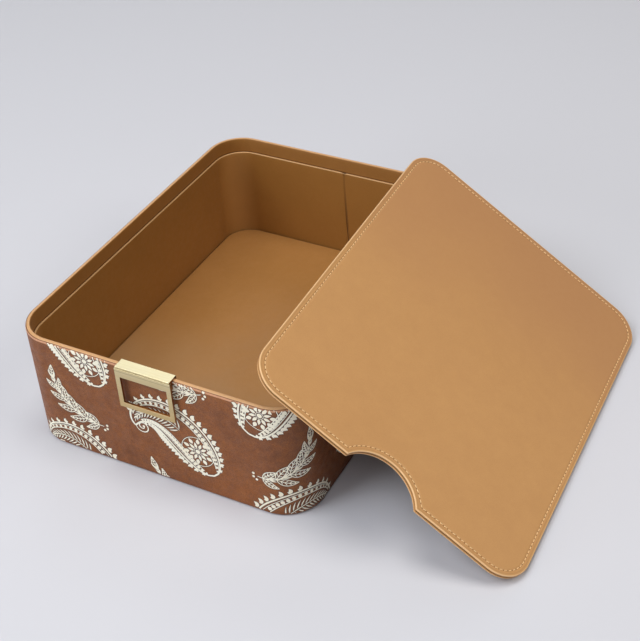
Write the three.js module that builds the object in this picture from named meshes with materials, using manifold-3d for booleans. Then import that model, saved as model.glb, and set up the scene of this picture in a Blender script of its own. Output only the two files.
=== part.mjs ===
// A leather box for papers, with its lid taken off and leaning on the right-hand wall.
//
// Lengths are in millimetres and +Z is up. The origin is the centre of the box's underside, on the
// table. The front wall with the brass clasp faces -Y, and the lid leans on the wall at +X.
// The walls and the floor are built up in layers, as the real box is: stiff board, leather glued
// on both sides, and a second, lower wall inside whose top edge is the ledge that the lid lies on.

import * as THREE from "three";
import { mergeVertices } from "three/addons/utils/BufferGeometryUtils.js";
import Module from "manifold-3d";

// The box
const boxWidth = 250;
const boxDepth = 328;
const boxHeight = 105;
const cornerRadius = 31;
const ledgeDrop = 13.5; // from the rim down to the ledge

// Layers of the wall, from the outside in
const wrapThickness = 0.9;
const coreThickness = 2.1;
const liningThickness = 0.8;
const linerBoardThickness = 0.9;
const linerSkinThickness = 0.6;
const wrapDrop = 0.7; // the wrap ends this far below the rim
const wrapSeam = 0.3; // between the wrap's two ends, at the back
const linerSeam = 0.5; // between the inner wall's two ends, at the back

// Layers of the floor, from the table up
const coverThickness = 0.9;
const baseThickness = 2.2;
const floorBoardThickness = 1;
const floorSkinThickness = 0.8;
const coverInset = 2;
const hemWidth = 12; // the wrap's lower edge, turned in under the box
const floorGap = 0.5; // round the floor, inside the inner wall

// What is common to all layers
const glueLine = 0.1;
const edgeRounding = 0.4;

// The clasp on the front wall
const saddleWidth = 47.5;
const plateThickness = 1.3;
const plateFront = 4.3; // how far the top plate reaches past the wall's outer face
const legThickness = 1.2;
const legHeight = 12;
const lipThickness = 2.2;
const lipHeight = 7;
const frameWidth = 48.8;
const frameHeight = 36.6;
const frameThickness = 2;
const frameTopBar = 7.7;
const frameSideBar = 4.1;
const frameBottomBar = 4.6;
const claspClearance = 0.2;
const frameClearance = 0.3;
const edgeBreak = 0.2;

// Its screws
const screwRadius = 1;
const screwHeadRadius = 1.9;
const screwHeadHeight = 0.9;
const screwSpacing = 30;
const screwDrop = 4; // from the rim down to the screws
const screwClearance = 0.15;
const screwTipGap = 0.3; // from the screw's tip to the lip's front
const slotWidth = 0.5;
const slotDepth = 0.4;

// The lid
const lidClearance = 0.5; // all round, where it drops into the box
const lidSkinThickness = 1.5;
const lidCoreThickness = 1;
const lidCoreInset = 0.8; // leaves the groove that runs round the lid's edge
const notchRadius = 33.7;
const notchDepth = 18.7;
const notchRounding = 1.5;
const stitchInset = 4.4; // from the lid's edge to the middle of the stitching
const grooveWidth = 0.9;
const grooveDepth = 0.45;
const threadWidth = 0.6;
const threadThickness = 0.3;

// Where the lid leans
const lidReach = 55.5; // how much of it lies past the rim it leans on, over the box
const lidTurn = THREE.MathUtils.degToRad(1.8);
const lidSlide = -4; // its middle, along the wall it leans on
const restGap = 0.3;

// How fine the curves are
const cornerSteps = 10;
const edgeSteps = 2;
const notchSteps = 20;
const filletSteps = 3;
const roundSteps = 16;

// Heights and insets that follow from the layers
const hemBottom = coverThickness + glueLine;
const baseBottom = hemBottom + wrapThickness + glueLine;
const baseTop = baseBottom + baseThickness;
const floorBoardBottom = baseTop + glueLine;
const floorSkinBottom = floorBoardBottom + floorBoardThickness + glueLine;
const floorTop = floorSkinBottom + floorSkinThickness;
const ledgeTop = boxHeight - ledgeDrop;
const coreInset = wrapThickness + glueLine;
const liningInset = coreInset + coreThickness + glueLine;
const wallThickness = liningInset + liningThickness;
const linerInset = wallThickness + glueLine;
const linerSkinInset = linerInset + linerBoardThickness + glueLine;
const linerFace = linerSkinInset + linerSkinThickness;
const frontFace = -boxDepth / 2;

const lidWidth = boxWidth - 2 * (wallThickness + lidClearance);
const lidDepth = boxDepth - 2 * (wallThickness + lidClearance);
const lidCornerRadius = cornerRadius - wallThickness - lidClearance;
const lidCoreBottom = lidSkinThickness + glueLine;
const lidTopSkinBottom = lidCoreBottom + lidCoreThickness + glueLine;
const lidThickness = lidTopSkinBottom + lidSkinThickness;

const wasm = await Module();
wasm.setup();

const finishes = {
  printedLeather: { color: 0x8a5c42, roughness: 0.55, metalness: 0 },
  tanLeather: { color: 0xbe915c, roughness: 0.5, metalness: 0 },
  suede: { color: 0x6e4a34, roughness: 0.9, metalness: 0 },
  board: { color: 0x9a8468, roughness: 0.85, metalness: 0 },
  brass: { color: 0xd8cb92, roughness: 0.3, metalness: 1 },
  thread: { color: 0xf0dcb4, roughness: 0.7, metalness: 0 },
};

// A geometry from corners and the triangles between them, facing out.
function closedGeometry(corners, triangles) {
  const geometry = new THREE.BufferGeometry();
  const positions = corners.flatMap(({ x, y, z }) => [x, y, z]);
  geometry.setAttribute("position", new THREE.Float32BufferAttribute(positions, 3));
  geometry.setIndex(triangles.flat());
  const merged = mergeVertices(geometry);
  const kept = [];
  for (let i = 0; i < merged.index.count; i += 3) {
    const [a, b, c] = [0, 1, 2].map((k) => merged.index.getX(i + k));
    if (a !== b && b !== c && c !== a) kept.push([a, b, c]);
  }
  const at = (i) => new THREE.Vector3().fromBufferAttribute(merged.attributes.position, i);
  const volume = kept.reduce((sum, [a, b, c]) => sum + at(a).dot(at(b).cross(at(c))), 0);
  merged.setIndex(kept.flatMap(([a, b, c]) => (volume > 0 ? [a, b, c] : [a, c, b])));
  return merged;
}

// The triangles that fill one flat loop of corners, turned the way the loop runs.
function fillLoop(loop) {
  const normal = new THREE.Vector3();
  loop.forEach((p, i) => normal.add(p.clone().cross(loop[(i + 1) % loop.length])));
  normal.normalize();
  const across = loop[1].clone().sub(loop[0]).projectOnPlane(normal).normalize();
  const along = normal.clone().cross(across);
  const flat = loop.map((p) => new THREE.Vector2(p.dot(across), p.dot(along)));
  return THREE.ShapeUtils.triangulateShape(flat, []);
}

// A closed surface through loops of corners, each joined to the next. It either comes round to its
// first loop again or is closed with a flat face at both ends.
function throughLoops(loops, comesRound) {
  const size = loops[0].length;
  const triangles = [];
  const rows = comesRound ? loops.length : loops.length - 1;
  for (let row = 0; row < rows; row++) {
    const above = (row + 1) % loops.length;
    for (let column = 0; column < size; column++) {
      const next = (column + 1) % size;
      const [a, b] = [row * size + column, row * size + next];
      const [c, d] = [above * size + next, above * size + column];
      triangles.push([a, b, c], [a, c, d]);
    }
  }
  if (!comesRound) {
    const last = (loops.length - 1) * size;
    for (const [a, b, c] of fillLoop(loops[0])) triangles.push([a, c, b]);
    for (const [a, b, c] of fillLoop(loops.at(-1))) triangles.push([last + a, last + b, last + c]);
  }
  return closedGeometry(loops.flat(), triangles);
}

// Stations round a rectangle with round corners, anticlockwise from the left end of its back.
// Each has the centre that its corner turns about and the way the edge faces there.
function stationsRound(width, depth, radius) {
  const corners = [[-1, 1], [-1, -1], [1, -1], [1, 1]];
  return corners.flatMap(([sideX, sideY], quarter) =>
    Array.from({ length: cornerSteps + 1 }, (_, step) => ({
      x: sideX * (width / 2 - radius),
      y: sideY * (depth / 2 - radius),
      angle: (Math.PI / 2) * (quarter + 1 + step / cornerSteps),
    })),
  );
}

const boxStations = stationsRound(boxWidth, boxDepth, cornerRadius);

// The corner of a profile at one station of the box. A profile is measured from the box's outer
// face: inset inwards, z up.
function onBox({ x, y, angle }, { inset, z }) {
  const reach = cornerRadius - inset;
  return new THREE.Vector3(x + reach * Math.cos(angle), y + reach * Math.sin(angle), z);
}

// A profile carried all the way round the box, with no seam.
function hoop(profile) {
  return throughLoops(
    boxStations.map((station) => profile.map((p) => onBox(station, p))),
    true,
  );
}

// A profile carried round the box from one side of a seam at the middle of the back to the other.
function seamedHoop(profile, seam) {
  const atSeam = (side) => ({
    x: (side * seam) / 2,
    y: boxDepth / 2 - cornerRadius,
    angle: Math.PI / 2,
  });
  return throughLoops(
    [atSeam(-1), ...boxStations, atSeam(1)].map((station) => profile.map((p) => onBox(station, p))),
    false,
  );
}

// A flat piece inside the box, closed at the first and last of its levels.
function boxPlate(levels) {
  return throughLoops(
    levels.map((level) => boxStations.map((station) => onBox(station, level))),
    false,
  );
}

// A quarter turn of a profile's edge, from one angle to another, in degrees. The angle 0 points
// into the box and 90 points up.
function turn(inset, z, radius, from, to) {
  return Array.from({ length: edgeSteps + 1 }, (_, step) => {
    const angle = THREE.MathUtils.degToRad(from + ((to - from) * step) / edgeSteps);
    return { inset: inset + radius * Math.cos(angle), z: z + radius * Math.sin(angle) };
  });
}

function toSolid(geometry) {
  const bare = new THREE.BufferGeometry();
  bare.setAttribute("position", geometry.attributes.position);
  bare.setIndex(geometry.index);
  const merged = mergeVertices(bare);
  return new wasm.Manifold(
    new wasm.Mesh({
      numProp: 3,
      vertProperties: merged.attributes.position.array,
      triVerts: new Uint32Array(merged.index.array),
    }),
  );
}

function toGeometry(solid) {
  const mesh = solid.getMesh();
  const geometry = new THREE.BufferGeometry();
  geometry.setAttribute("position", new THREE.BufferAttribute(mesh.vertProperties, 3));
  geometry.setIndex(new THREE.BufferAttribute(mesh.triVerts, 1));
  return geometry;
}

function cut(geometry, tools) {
  return toGeometry(tools.reduce((left, tool) => left.subtract(toSolid(tool)), toSolid(geometry)));
}

// Where the clasp's screws run, front to back.
const screwPlaces = [-1, 1].map((side) => ({
  x: (side * screwSpacing) / 2,
  z: boxHeight - screwDrop,
}));

// The holes for both screws, from one place front to back to another.
function screwHoles(from, to) {
  return screwPlaces.map(({ x, z }) => {
    const hole = new THREE.CylinderGeometry(
      screwRadius + screwClearance,
      screwRadius + screwClearance,
      to - from,
      roundSteps,
    );
    return hole.translate(x, (from + to) / 2, z);
  });
}

const wallHoles = () => screwHoles(frontFace - wallThickness, frontFace + 2 * wallThickness);

// The printed leather round the outside, turned in under the box.
function outerWrap() {
  const top = boxHeight - wrapDrop;
  const round = Math.min(edgeRounding, wrapThickness / 2);
  const profile = [
    { inset: hemWidth, z: hemBottom },
    ...turn(wrapThickness, hemBottom + wrapThickness, wrapThickness, 270, 180),
    ...turn(round, top - round, round, 180, 90),
    ...turn(wrapThickness - round, top - round, round, 90, 0),
    { inset: wrapThickness, z: hemBottom + wrapThickness },
    { inset: hemWidth, z: hemBottom + wrapThickness },
  ];
  return cut(seamedHoop(profile, wrapSeam), wallHoles());
}

// The bent board that gives the wall its shape.
function wallCore() {
  const top = boxHeight - liningThickness - glueLine;
  const inner = coreInset + coreThickness;
  const profile = [
    { inset: coreInset, z: baseBottom },
    { inset: coreInset, z: top },
    { inset: inner, z: top },
    { inset: inner, z: baseBottom },
  ];
  return cut(hoop(profile), wallHoles());
}

// The tan leather over the rim and down the inside of the wall.
function rimLining() {
  const round = Math.min(edgeRounding, liningThickness / 2);
  const under = boxHeight - liningThickness;
  const profile = [
    { inset: coreInset, z: under },
    ...turn(coreInset + round, boxHeight - round, round, 180, 90),
    ...turn(wallThickness - round, boxHeight - round, round, 90, 0),
    { inset: wallThickness, z: baseTop + glueLine },
    { inset: liningInset, z: baseTop + glueLine },
    { inset: liningInset, z: under },
  ];
  return cut(hoop(profile), wallHoles());
}

// The board strip of the lower, inner wall.
function linerBoard() {
  const top = ledgeTop - linerSkinThickness - glueLine;
  const inner = linerInset + linerBoardThickness;
  const profile = [
    { inset: linerInset, z: baseTop + glueLine },
    { inset: linerInset, z: top },
    { inset: inner, z: top },
    { inset: inner, z: baseTop + glueLine },
  ];
  return seamedHoop(profile, linerSeam);
}

// The leather over that strip: its face, and the ledge along its top.
function linerSkin() {
  const round = Math.min(edgeRounding, linerSkinThickness / 2);
  const under = ledgeTop - linerSkinThickness;
  const profile = [
    { inset: linerInset, z: under },
    ...turn(linerInset + round, ledgeTop - round, round, 180, 90),
    ...turn(linerFace - round, ledgeTop - round, round, 90, 0),
    { inset: linerFace, z: baseTop + glueLine },
    { inset: linerSkinInset, z: baseTop + glueLine },
    { inset: linerSkinInset, z: under },
  ];
  return seamedHoop(profile, linerSeam);
}

// The cover under the box, which stands on the table.
function baseCover() {
  return boxPlate([
    { inset: coverInset, z: 0 },
    { inset: coverInset, z: coverThickness },
  ]);
}

function baseBoard() {
  const inset = coreInset + coreThickness + glueLine;
  return boxPlate([
    { inset, z: baseBottom },
    { inset, z: baseTop },
  ]);
}

function floorBoard() {
  const inset = linerFace + floorGap;
  return boxPlate([
    { inset, z: floorBoardBottom },
    { inset, z: floorBoardBottom + floorBoardThickness },
  ]);
}

function floorSkin() {
  const round = Math.min(edgeRounding, floorSkinThickness / 2);
  const inset = linerFace + floorGap;
  return boxPlate([
    { inset, z: floorSkinBottom },
    ...turn(inset + round, floorTop - round, round, 180, 90),
  ]);
}

// An outline given as places outwards from the wall's face and up, drawn along the clasp's width.
function alongClasp(outline, width) {
  const shape = new THREE.Shape(outline.map(([out, z]) => new THREE.Vector2(out, z)));
  const body = new THREE.ExtrudeGeometry(shape, {
    depth: width - 2 * edgeBreak,
    bevelSize: edgeBreak,
    bevelThickness: edgeBreak,
    bevelOffset: -edgeBreak,
    bevelSegments: 1,
  });
  // The shape's first axis becomes -Y, its second +Z, and its depth runs along X.
  const axes = new THREE.Matrix4().makeBasis(
    new THREE.Vector3(0, -1, 0),
    new THREE.Vector3(0, 0, 1),
    new THREE.Vector3(-1, 0, 0),
  );
  return body.applyMatrix4(axes).translate(width / 2 - edgeBreak, frontFace, 0);
}

// The brass saddle over the rim: a leg inside, a plate on top and a lip that carries the frame.
function claspSaddle() {
  const legOuter = -(wallThickness + claspClearance);
  const legInner = legOuter - legThickness;
  const under = boxHeight + claspClearance;
  const lipFront = claspClearance + lipThickness;
  const outline = [
    [legInner, boxHeight - legHeight],
    [legOuter, boxHeight - legHeight],
    [legOuter, under],
    [claspClearance, under],
    [claspClearance, boxHeight - lipHeight],
    [lipFront, boxHeight - lipHeight],
    [lipFront, under],
    [plateFront, under],
    [plateFront, under + plateThickness],
    [legInner, under + plateThickness],
  ];
  const sinks = screwPlaces.map(({ x, z }) => {
    const sink = new THREE.CylinderGeometry(
      2 * screwHeadRadius - screwRadius + screwClearance,
      screwRadius + screwClearance,
      2 * screwHeadHeight,
      roundSteps,
    );
    return sink.translate(x, frontFace - legInner, z);
  });
  const through = screwHoles(frontFace - 2 * lipFront, frontFace - 2 * legInner);
  return cut(alongClasp(outline, saddleWidth), [...through, ...sinks]);
}

// The open brass frame in front of the wall.
function claspFrame() {
  const rectangle = (left, right, bottom, top) => [
    new THREE.Vector2(left, bottom),
    new THREE.Vector2(right, bottom),
    new THREE.Vector2(right, top),
    new THREE.Vector2(left, top),
  ];
  const half = frameWidth / 2;
  const shape = new THREE.Shape(rectangle(-half, half, -frameHeight, 0));
  shape.holes.push(
    new THREE.Path(
      rectangle(
        frameSideBar - half,
        half - frameSideBar,
        frameBottomBar - frameHeight,
        -frameTopBar,
      ),
    ),
  );
  const body = new THREE.ExtrudeGeometry(shape, {
    depth: frameThickness - 2 * edgeBreak,
    bevelSize: edgeBreak,
    bevelThickness: edgeBreak,
    bevelOffset: -edgeBreak,
    bevelSegments: 1,
  });
  const back = claspClearance + lipThickness + frameClearance;
  return body.rotateX(Math.PI / 2).translate(0, frontFace - back - edgeBreak, boxHeight);
}

// A countersunk screw along Y, with its head inside the box and its tip in the lip.
function claspScrew({ x, z }) {
  const headFace = frontFace + wallThickness + claspClearance + legThickness;
  const lipFace = frontFace - claspClearance - lipThickness;
  const length = headFace - lipFace - screwTipGap;
  const outline = [
    [0, -length],
    [screwRadius - edgeBreak, -length],
    [screwRadius, edgeBreak - length],
    [screwRadius, -screwHeadHeight],
    [screwHeadRadius, 0],
    [0, 0],
  ];
  const body = new THREE.LatheGeometry(
    outline.map(([radius, y]) => new THREE.Vector2(radius, y)),
    roundSteps,
  );
  const slot = new THREE.BoxGeometry(3 * screwHeadRadius, 2 * slotDepth, slotWidth);
  return cut(body, [slot]).translate(x, headFace, z);
}

// The lid's outline at an inset from its edge, anticlockwise seen from above, with the finger
// notch in the middle of its front edge.
function lidOutline(inset) {
  const arc = (x, y, radius, from, to, steps, skipped) =>
    Array.from({ length: steps + 1 - 2 * skipped }, (_, step) => {
      const angle = from + ((to - from) * (step + skipped)) / steps;
      return new THREE.Vector2(x + radius * Math.cos(angle), y + radius * Math.sin(angle));
    });
  const stations = stationsRound(lidWidth, lidDepth, lidCornerRadius);
  const corner = ({ x, y, angle }) => arc(x, y, lidCornerRadius - inset, angle, angle, 1, 0)[0];
  const front = -lidDepth / 2;
  const fillet = Math.max(notchRounding - inset, 0);
  const filletRise = Math.max(notchRounding, inset);
  const rise = notchRadius - notchDepth + filletRise;
  const mouth = Math.sqrt((notchRadius + filletRise) ** 2 - rise ** 2);
  const slope = Math.atan2(rise, mouth);
  const half = stations.length / 2;
  const down = -Math.PI / 2;
  return [
    ...stations.slice(0, half).map(corner),
    ...arc(-mouth, front + filletRise, fillet, down, -slope, filletSteps, 0),
    ...arc(0, front + notchDepth - notchRadius, notchRadius + inset, Math.PI - slope, slope,
      notchSteps, 1),
    ...arc(mouth, front + filletRise, fillet, slope - Math.PI, down, filletSteps, 0),
    ...stations.slice(half).map(corner),
  ];
}

function lidLoop({ inset, z }) {
  return lidOutline(inset).map(({ x, y }) => new THREE.Vector3(x, y, z));
}

// A leather of the lid, with its round edges and the groove that the stitching lies in. The
// groove is in its top face.
function lidSkin() {
  const round = Math.min(edgeRounding, lidSkinThickness / 2);
  const top = lidSkinThickness;
  const outer = stitchInset - grooveWidth / 2;
  const inner = stitchInset + grooveWidth / 2;
  const levels = [
    ...turn(round, round, round, 270, 180),
    ...turn(round, top - round, round, 180, 90),
    { inset: outer, z: top },
    { inset: outer, z: top - grooveDepth },
    { inset: inner, z: top - grooveDepth },
    { inset: inner, z: top },
  ];
  return throughLoops(levels.map(lidLoop), false);
}

function lidCore() {
  const levels = [
    { inset: lidCoreInset, z: lidCoreBottom },
    { inset: lidCoreInset, z: lidCoreBottom + lidCoreThickness },
  ];
  return throughLoops(levels.map(lidLoop), false);
}

// The line of sewing thread in the groove of one leather, flush with its face.
function lidThread() {
  const half = threadWidth / 2;
  const levels = [
    { inset: stitchInset - half, z: lidSkinThickness - threadThickness },
    { inset: stitchInset - half, z: lidSkinThickness },
    { inset: stitchInset + half, z: lidSkinThickness },
    { inset: stitchInset + half, z: lidSkinThickness - threadThickness },
  ];
  return throughLoops(levels.map(lidLoop), true);
}

function part(name, geometry, finish) {
  const mesh = new THREE.Mesh(geometry, new THREE.MeshStandardMaterial(finishes[finish]));
  mesh.name = name;
  return mesh;
}

function boxGroup() {
  const group = new THREE.Group();
  group.add(
    part("base_cover", baseCover(), "suede"),
    part("base_board", baseBoard(), "board"),
    part("wall_core", wallCore(), "board"),
    part("outer_wrap", outerWrap(), "printedLeather"),
    part("rim_lining", rimLining(), "tanLeather"),
    part("liner_board", linerBoard(), "board"),
    part("liner_leather", linerSkin(), "tanLeather"),
    part("floor_board", floorBoard(), "board"),
    part("floor_leather", floorSkin(), "tanLeather"),
    part("clasp_saddle", claspSaddle(), "brass"),
    part("clasp_frame", claspFrame(), "brass"),
    part("clasp_screw_left", claspScrew(screwPlaces[0]), "brass"),
    part("clasp_screw_right", claspScrew(screwPlaces[1]), "brass"),
  );
  return group;
}

// The lid in its own axes, with the middle of its underside at the origin.
function lidGroup() {
  const group = new THREE.Group();
  const upper = new THREE.Group();
  upper.position.z = lidTopSkinBottom;
  upper.add(
    part("lid_top_leather", lidSkin(), "tanLeather"),
    part("lid_thread_top", lidThread(), "thread"),
  );
  const lower = new THREE.Group(); // turned over, so that its good face is underneath
  lower.position.z = lidSkinThickness;
  lower.rotation.y = Math.PI;
  lower.add(
    part("lid_bottom_leather", lidSkin(), "tanLeather"),
    part("lid_thread_bottom", lidThread(), "thread"),
  );
  group.add(upper, part("lid_core", lidCore(), "board"), lower);
  return group;
}

// Leans the lid on the right-hand wall: its lower edge is on the table and its underside rests on
// the rim or, where the lid is steep, on the wrap's edge.
function lean(group) {
  const tilt = Math.asin(boxHeight / (lidWidth - lidReach));
  const across = Math.abs(Math.sin(lidTurn)) * (boxDepth / 2 - cornerRadius);
  const along = Math.cos(lidTurn) * (boxWidth / 2 - cornerRadius);
  const edges = [
    { inset: coreInset, z: boxHeight },
    { inset: 0, z: boxHeight - wrapDrop },
  ];
  const feet = edges.map(
    ({ inset, z }) => along + across + cornerRadius - inset + (z + restGap) / Math.tan(tilt),
  );
  const middle = Math.max(...feet) - (lidWidth / 2) * Math.cos(tilt);
  group.rotation.set(0, tilt, lidTurn, "ZYX");
  group.position.set(
    (middle - lidSlide * Math.sin(lidTurn)) / Math.cos(lidTurn),
    lidSlide,
    (lidWidth / 2) * Math.sin(tilt),
  );
  return group;
}

const leatherBox = new THREE.Group();
leatherBox.add(boxGroup(), lean(lidGroup()));

export default leatherBox;
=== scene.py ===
# %% [markdown]
# # A leather box for papers, with its lid off
#
# The real box is a ring of bent board with leather glued on both sides. A brown printed leather
# wraps the outside, a tan leather goes over the rim and down the inside, and a second, lower wall
# stands inside, so that its top edge is the ledge that the lid lies on. A brass clasp hooks over
# the front wall. The lid is two leathers round a stiffener, sewn near the edge, and it leans on
# the right-hand wall with its foot on the table.
#
# This script is a lesson in cells. It loads the measured frame of the box, makes each visible
# piece again as a fine mesh in the same place, and paints it with materials made from nodes.

import math
import random

import bmesh
import bpy
from mathutils import Matrix, Vector, noise


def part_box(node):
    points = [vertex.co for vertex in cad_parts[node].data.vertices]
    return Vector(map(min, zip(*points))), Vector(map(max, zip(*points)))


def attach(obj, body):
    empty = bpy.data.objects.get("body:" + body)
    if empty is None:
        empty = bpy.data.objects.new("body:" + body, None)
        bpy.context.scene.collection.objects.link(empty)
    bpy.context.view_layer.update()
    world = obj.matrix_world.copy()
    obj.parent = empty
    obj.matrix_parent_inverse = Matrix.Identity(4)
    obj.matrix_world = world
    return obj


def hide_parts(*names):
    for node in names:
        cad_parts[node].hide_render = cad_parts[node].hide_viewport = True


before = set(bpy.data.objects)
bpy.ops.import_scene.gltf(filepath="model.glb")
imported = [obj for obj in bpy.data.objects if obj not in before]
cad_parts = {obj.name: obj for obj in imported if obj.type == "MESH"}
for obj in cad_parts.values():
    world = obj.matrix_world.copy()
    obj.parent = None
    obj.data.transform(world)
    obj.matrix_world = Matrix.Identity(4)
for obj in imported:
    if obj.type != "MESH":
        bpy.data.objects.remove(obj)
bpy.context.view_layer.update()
print("nodes in the frame:", len(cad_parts))

# %% [markdown]
# ## Sizes
#
# The frame gives the large sizes: the wrap's outside is the box, the rim lining's top is its
# height, and the ledge and the floor are the tops of the leathers inside. What the frame's boxes
# can't say, such as the corners' radius, is written here once. All values are in metres, so a
# millimetre gets a name.

# %% Sizes of the box
mm = 0.001
quarter_turn = math.radians(90)

wrap_low, wrap_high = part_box("outer_wrap")
lining_low, lining_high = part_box("rim_lining")
liner_low, liner_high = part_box("liner_leather")
floor_low, floor_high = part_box("floor_leather")

box_width = wrap_high.x - wrap_low.x
box_depth = wrap_high.y - wrap_low.y
wrap_bottom = wrap_low.z
wrap_top = wrap_high.z
box_height = lining_high.z
ledge_height = liner_high.z
floor_height = floor_high.z
under_floor = liner_low.z
corner_radius = 31 * mm

wrap_thickness = 0.9 * mm
rim_outer = lining_low.x - wrap_low.x
wall_thickness = 4 * mm
liner_outer = liner_low.x - wrap_low.x
liner_face = 5.7 * mm
floor_inset = floor_low.x - wrap_low.x

print("box in mm:", [round(v / mm, 1) for v in (box_width, box_depth, box_height)])
print("ledge and floor heights in mm:", round(ledge_height / mm, 1), round(floor_height / mm, 1))

# %% [markdown]
# ## Walking round the box
#
# Every wall piece is the same idea: a small profile carried round a rectangle with round corners.
# Blender could do that with a bevelled curve, but then the seam, the texture coordinates and the
# slight unevenness of glued leather are out of reach. So a short walk does it in mesh code. A
# station of the walk is a corner's centre that slides along the straight sides, and the way the
# wall faces there. A point at an inset from the outer face lies that much nearer the centre.

# %% A walk round a rectangle with round corners
side_step = 5 * mm
corner_steps = 24
half_x, half_y = box_width / 2 - corner_radius, box_depth / 2 - corner_radius
corner_way = corner_radius * quarter_turn
turning_points = [
    (0, half_y), (-half_x, half_y), (-half_x, -half_y),
    (half_x, -half_y), (half_x, half_y), (0, half_y),
]
sides = list(zip(turning_points, turning_points[1:]))


def station_at(way):
    """The centre's x and y, the angle faced and the way itself, from the middle of the back."""
    left = way
    for number, (start, end) in enumerate(sides):
        side, angle = math.dist(start, end), quarter_turn * (number + 1)
        if left <= side:
            return *Vector(start).lerp(Vector(end), left / side), angle, way
        left -= side
        if left <= corner_way:
            return *end, angle + left / corner_radius, way
        left -= corner_way


def walk_round():
    """Stations at even steps along each side and round each corner, anticlockwise."""
    ways, reached = [], 0.0
    for start, end in sides:
        side = math.dist(start, end)
        steps = round(side / side_step)
        ways += [reached + side * step / steps for step in range(steps + 1)]
        reached += side
        ways += [reached + corner_way * step / corner_steps for step in range(1, corner_steps)]
        reached += corner_way
    after_the_last_side = corner_steps - 1
    return [station_at(way) for way in ways[:-after_the_last_side]]


def outward(station):
    return Vector((math.cos(station[2]), math.sin(station[2]), 0))


def on_station(station, inset, z):
    return Vector((*station[:2], z)) + outward(station) * (corner_radius - inset)


box_walk = walk_round()
box_way = box_walk[-1][3]
print("way round the box in mm:", round(box_way / mm, 1), "in", len(box_walk), "stations")

# %% [markdown]
# ## From rows of points to a piece
#
# A mesh is made from rows of points, each a closed ring: a profile at one station of the walk, or
# the section of a thread. Each point also gets a texture coordinate in metres: how far it lies
# along the walk and how far along the profile. The materials then draw stitch holes and edge wear
# at their real size, with no unwrapping.

# %% Make a mesh from rows of points
same_place = 0.002 * mm


class Skin:
    """Collects rows of points, each a closed ring, and the faces that join them."""

    def __init__(self):
        self.points, self.faces, self.coordinates = [], [], []

    def add(self, rows, coordinates=(), comes_round=False):
        """Joins each row to the next. Open ends get a face of their own."""
        first, size, count = len(self.points), len(rows[0]), len(rows)
        self.points += [tuple(point) for row in rows for point in row]
        self.coordinates += coordinates
        for row in range(count if comes_round else count - 1):
            here, there = first + row * size, first + (row + 1) % count * size
            for column in range(size):
                beside = (column + 1) % size
                self.faces.append((here + column, here + beside, there + beside, there + column))
        if not comes_round:
            last = len(self.points) - size
            self.faces += [tuple(range(end, end + size)) for end in (first, last)]
        return self

    def piece(self, name, crease_degrees=35):
        """A mesh object, shaded smooth but for edges sharper than crease_degrees."""
        mesh = bpy.data.meshes.new(name)
        mesh.from_pydata(self.points, [], self.faces)
        if self.coordinates:
            layer = mesh.uv_layers.new(name="along_across")
            for loop in mesh.loops:
                layer.data[loop.index].uv = self.coordinates[loop.vertex_index]
        mesh.validate()
        cleaner = bmesh.new()
        cleaner.from_mesh(mesh)
        bmesh.ops.remove_doubles(cleaner, verts=cleaner.verts, dist=same_place)
        bmesh.ops.recalc_face_normals(cleaner, faces=cleaner.faces)
        cleaner.to_mesh(mesh)
        cleaner.free()
        mesh.polygons.foreach_set("use_smooth", [True] * len(mesh.polygons))
        mesh.set_sharp_from_angle(angle=math.radians(crease_degrees))
        piece = bpy.data.objects.new(name, mesh)
        bpy.context.scene.collection.objects.link(piece)
        return piece


def grid(along, across):
    return [(u, v) for u in along for v in across]


def way_along(points):
    """How far each point of a profile lies from the first, along the profile."""
    ways = [0.0]
    for before, here in zip(points, points[1:]):
        ways.append(ways[-1] + math.dist(before, here))
    return ways


def arc(x, y, radius, start, end, steps):
    angles = [start + (end - start) * step / steps for step in range(steps + 1)]
    return [(x + radius * math.cos(a), y + radius * math.sin(a)) for a in angles]


def round_edge(inset, z, radius, from_degrees, to_degrees, steps=4):
    """Part of a circle in a profile. 0 degrees points into the box and 90 points up."""
    return arc(inset, z, radius, math.radians(from_degrees), math.radians(to_degrees), steps)


def straight(start, end, step):
    """Points between two places of a profile, without the two themselves."""
    pieces = max(1, round(math.dist(start, end) / step))
    return [tuple(Vector(start).lerp(Vector(end), n / pieces)) for n in range(1, pieces)]


def hand_over(piece, body, node=None):
    """Gives a piece to the body that it rides on, in place of a node of the frame."""
    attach(piece, body)
    if node:
        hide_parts(node)
    print(piece.name, len(piece.data.polygons), "faces")


# %% [markdown]
# Glued leather is never quite flat: it swells a little between the places where the glue holds.
# A soft noise moves each point a fraction of a millimetre in or out. The same place always gets
# the same move, so the print can later follow the wrap exactly.

# %% The slight unevenness of glued leather
def swell(place, size, height, seed):
    return noise.noise(Vector(place) / size + Vector((seed, seed, seed))) * height


def share_between(low, high, value):
    """0 up to low, 1 from high on, and evenly between."""
    return min(1, max(0, (value - low) / (high - low)))


# %% [markdown]
# ## The brown wrap
#
# On the real box the printed leather runs round the outside, is turned in under the box, and its
# thick upper edge is rolled, so a narrow band of it catches the light just below the rim. The two
# ends meet at the middle of the back with a hair's gap.

# %% The wrap's profile and where a place on it lies
hem_width = 12 * mm
hem_start = wrap_thickness + 1 * mm
roll_width = 0.85 * mm
roll_rise = 1.8 * mm
wrap_seam = 0.3 * mm
wrap_swell = (45 * mm, 0.12 * mm, 3.7)
wrap_held = 6 * mm
foot_steps, face_steps, roll_steps = 4, 24, 7

wrap_face_foot = wrap_bottom + wrap_thickness
wrap_face_head = wrap_top - roll_rise
wrap_face_height = wrap_face_head - wrap_face_foot
roll_way = math.pi / 4 * (
    3 * (roll_width + roll_rise)
    - math.sqrt((3 * roll_width + roll_rise) * (roll_width + 3 * roll_rise))
)  # a quarter of an ellipse's way round


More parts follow.
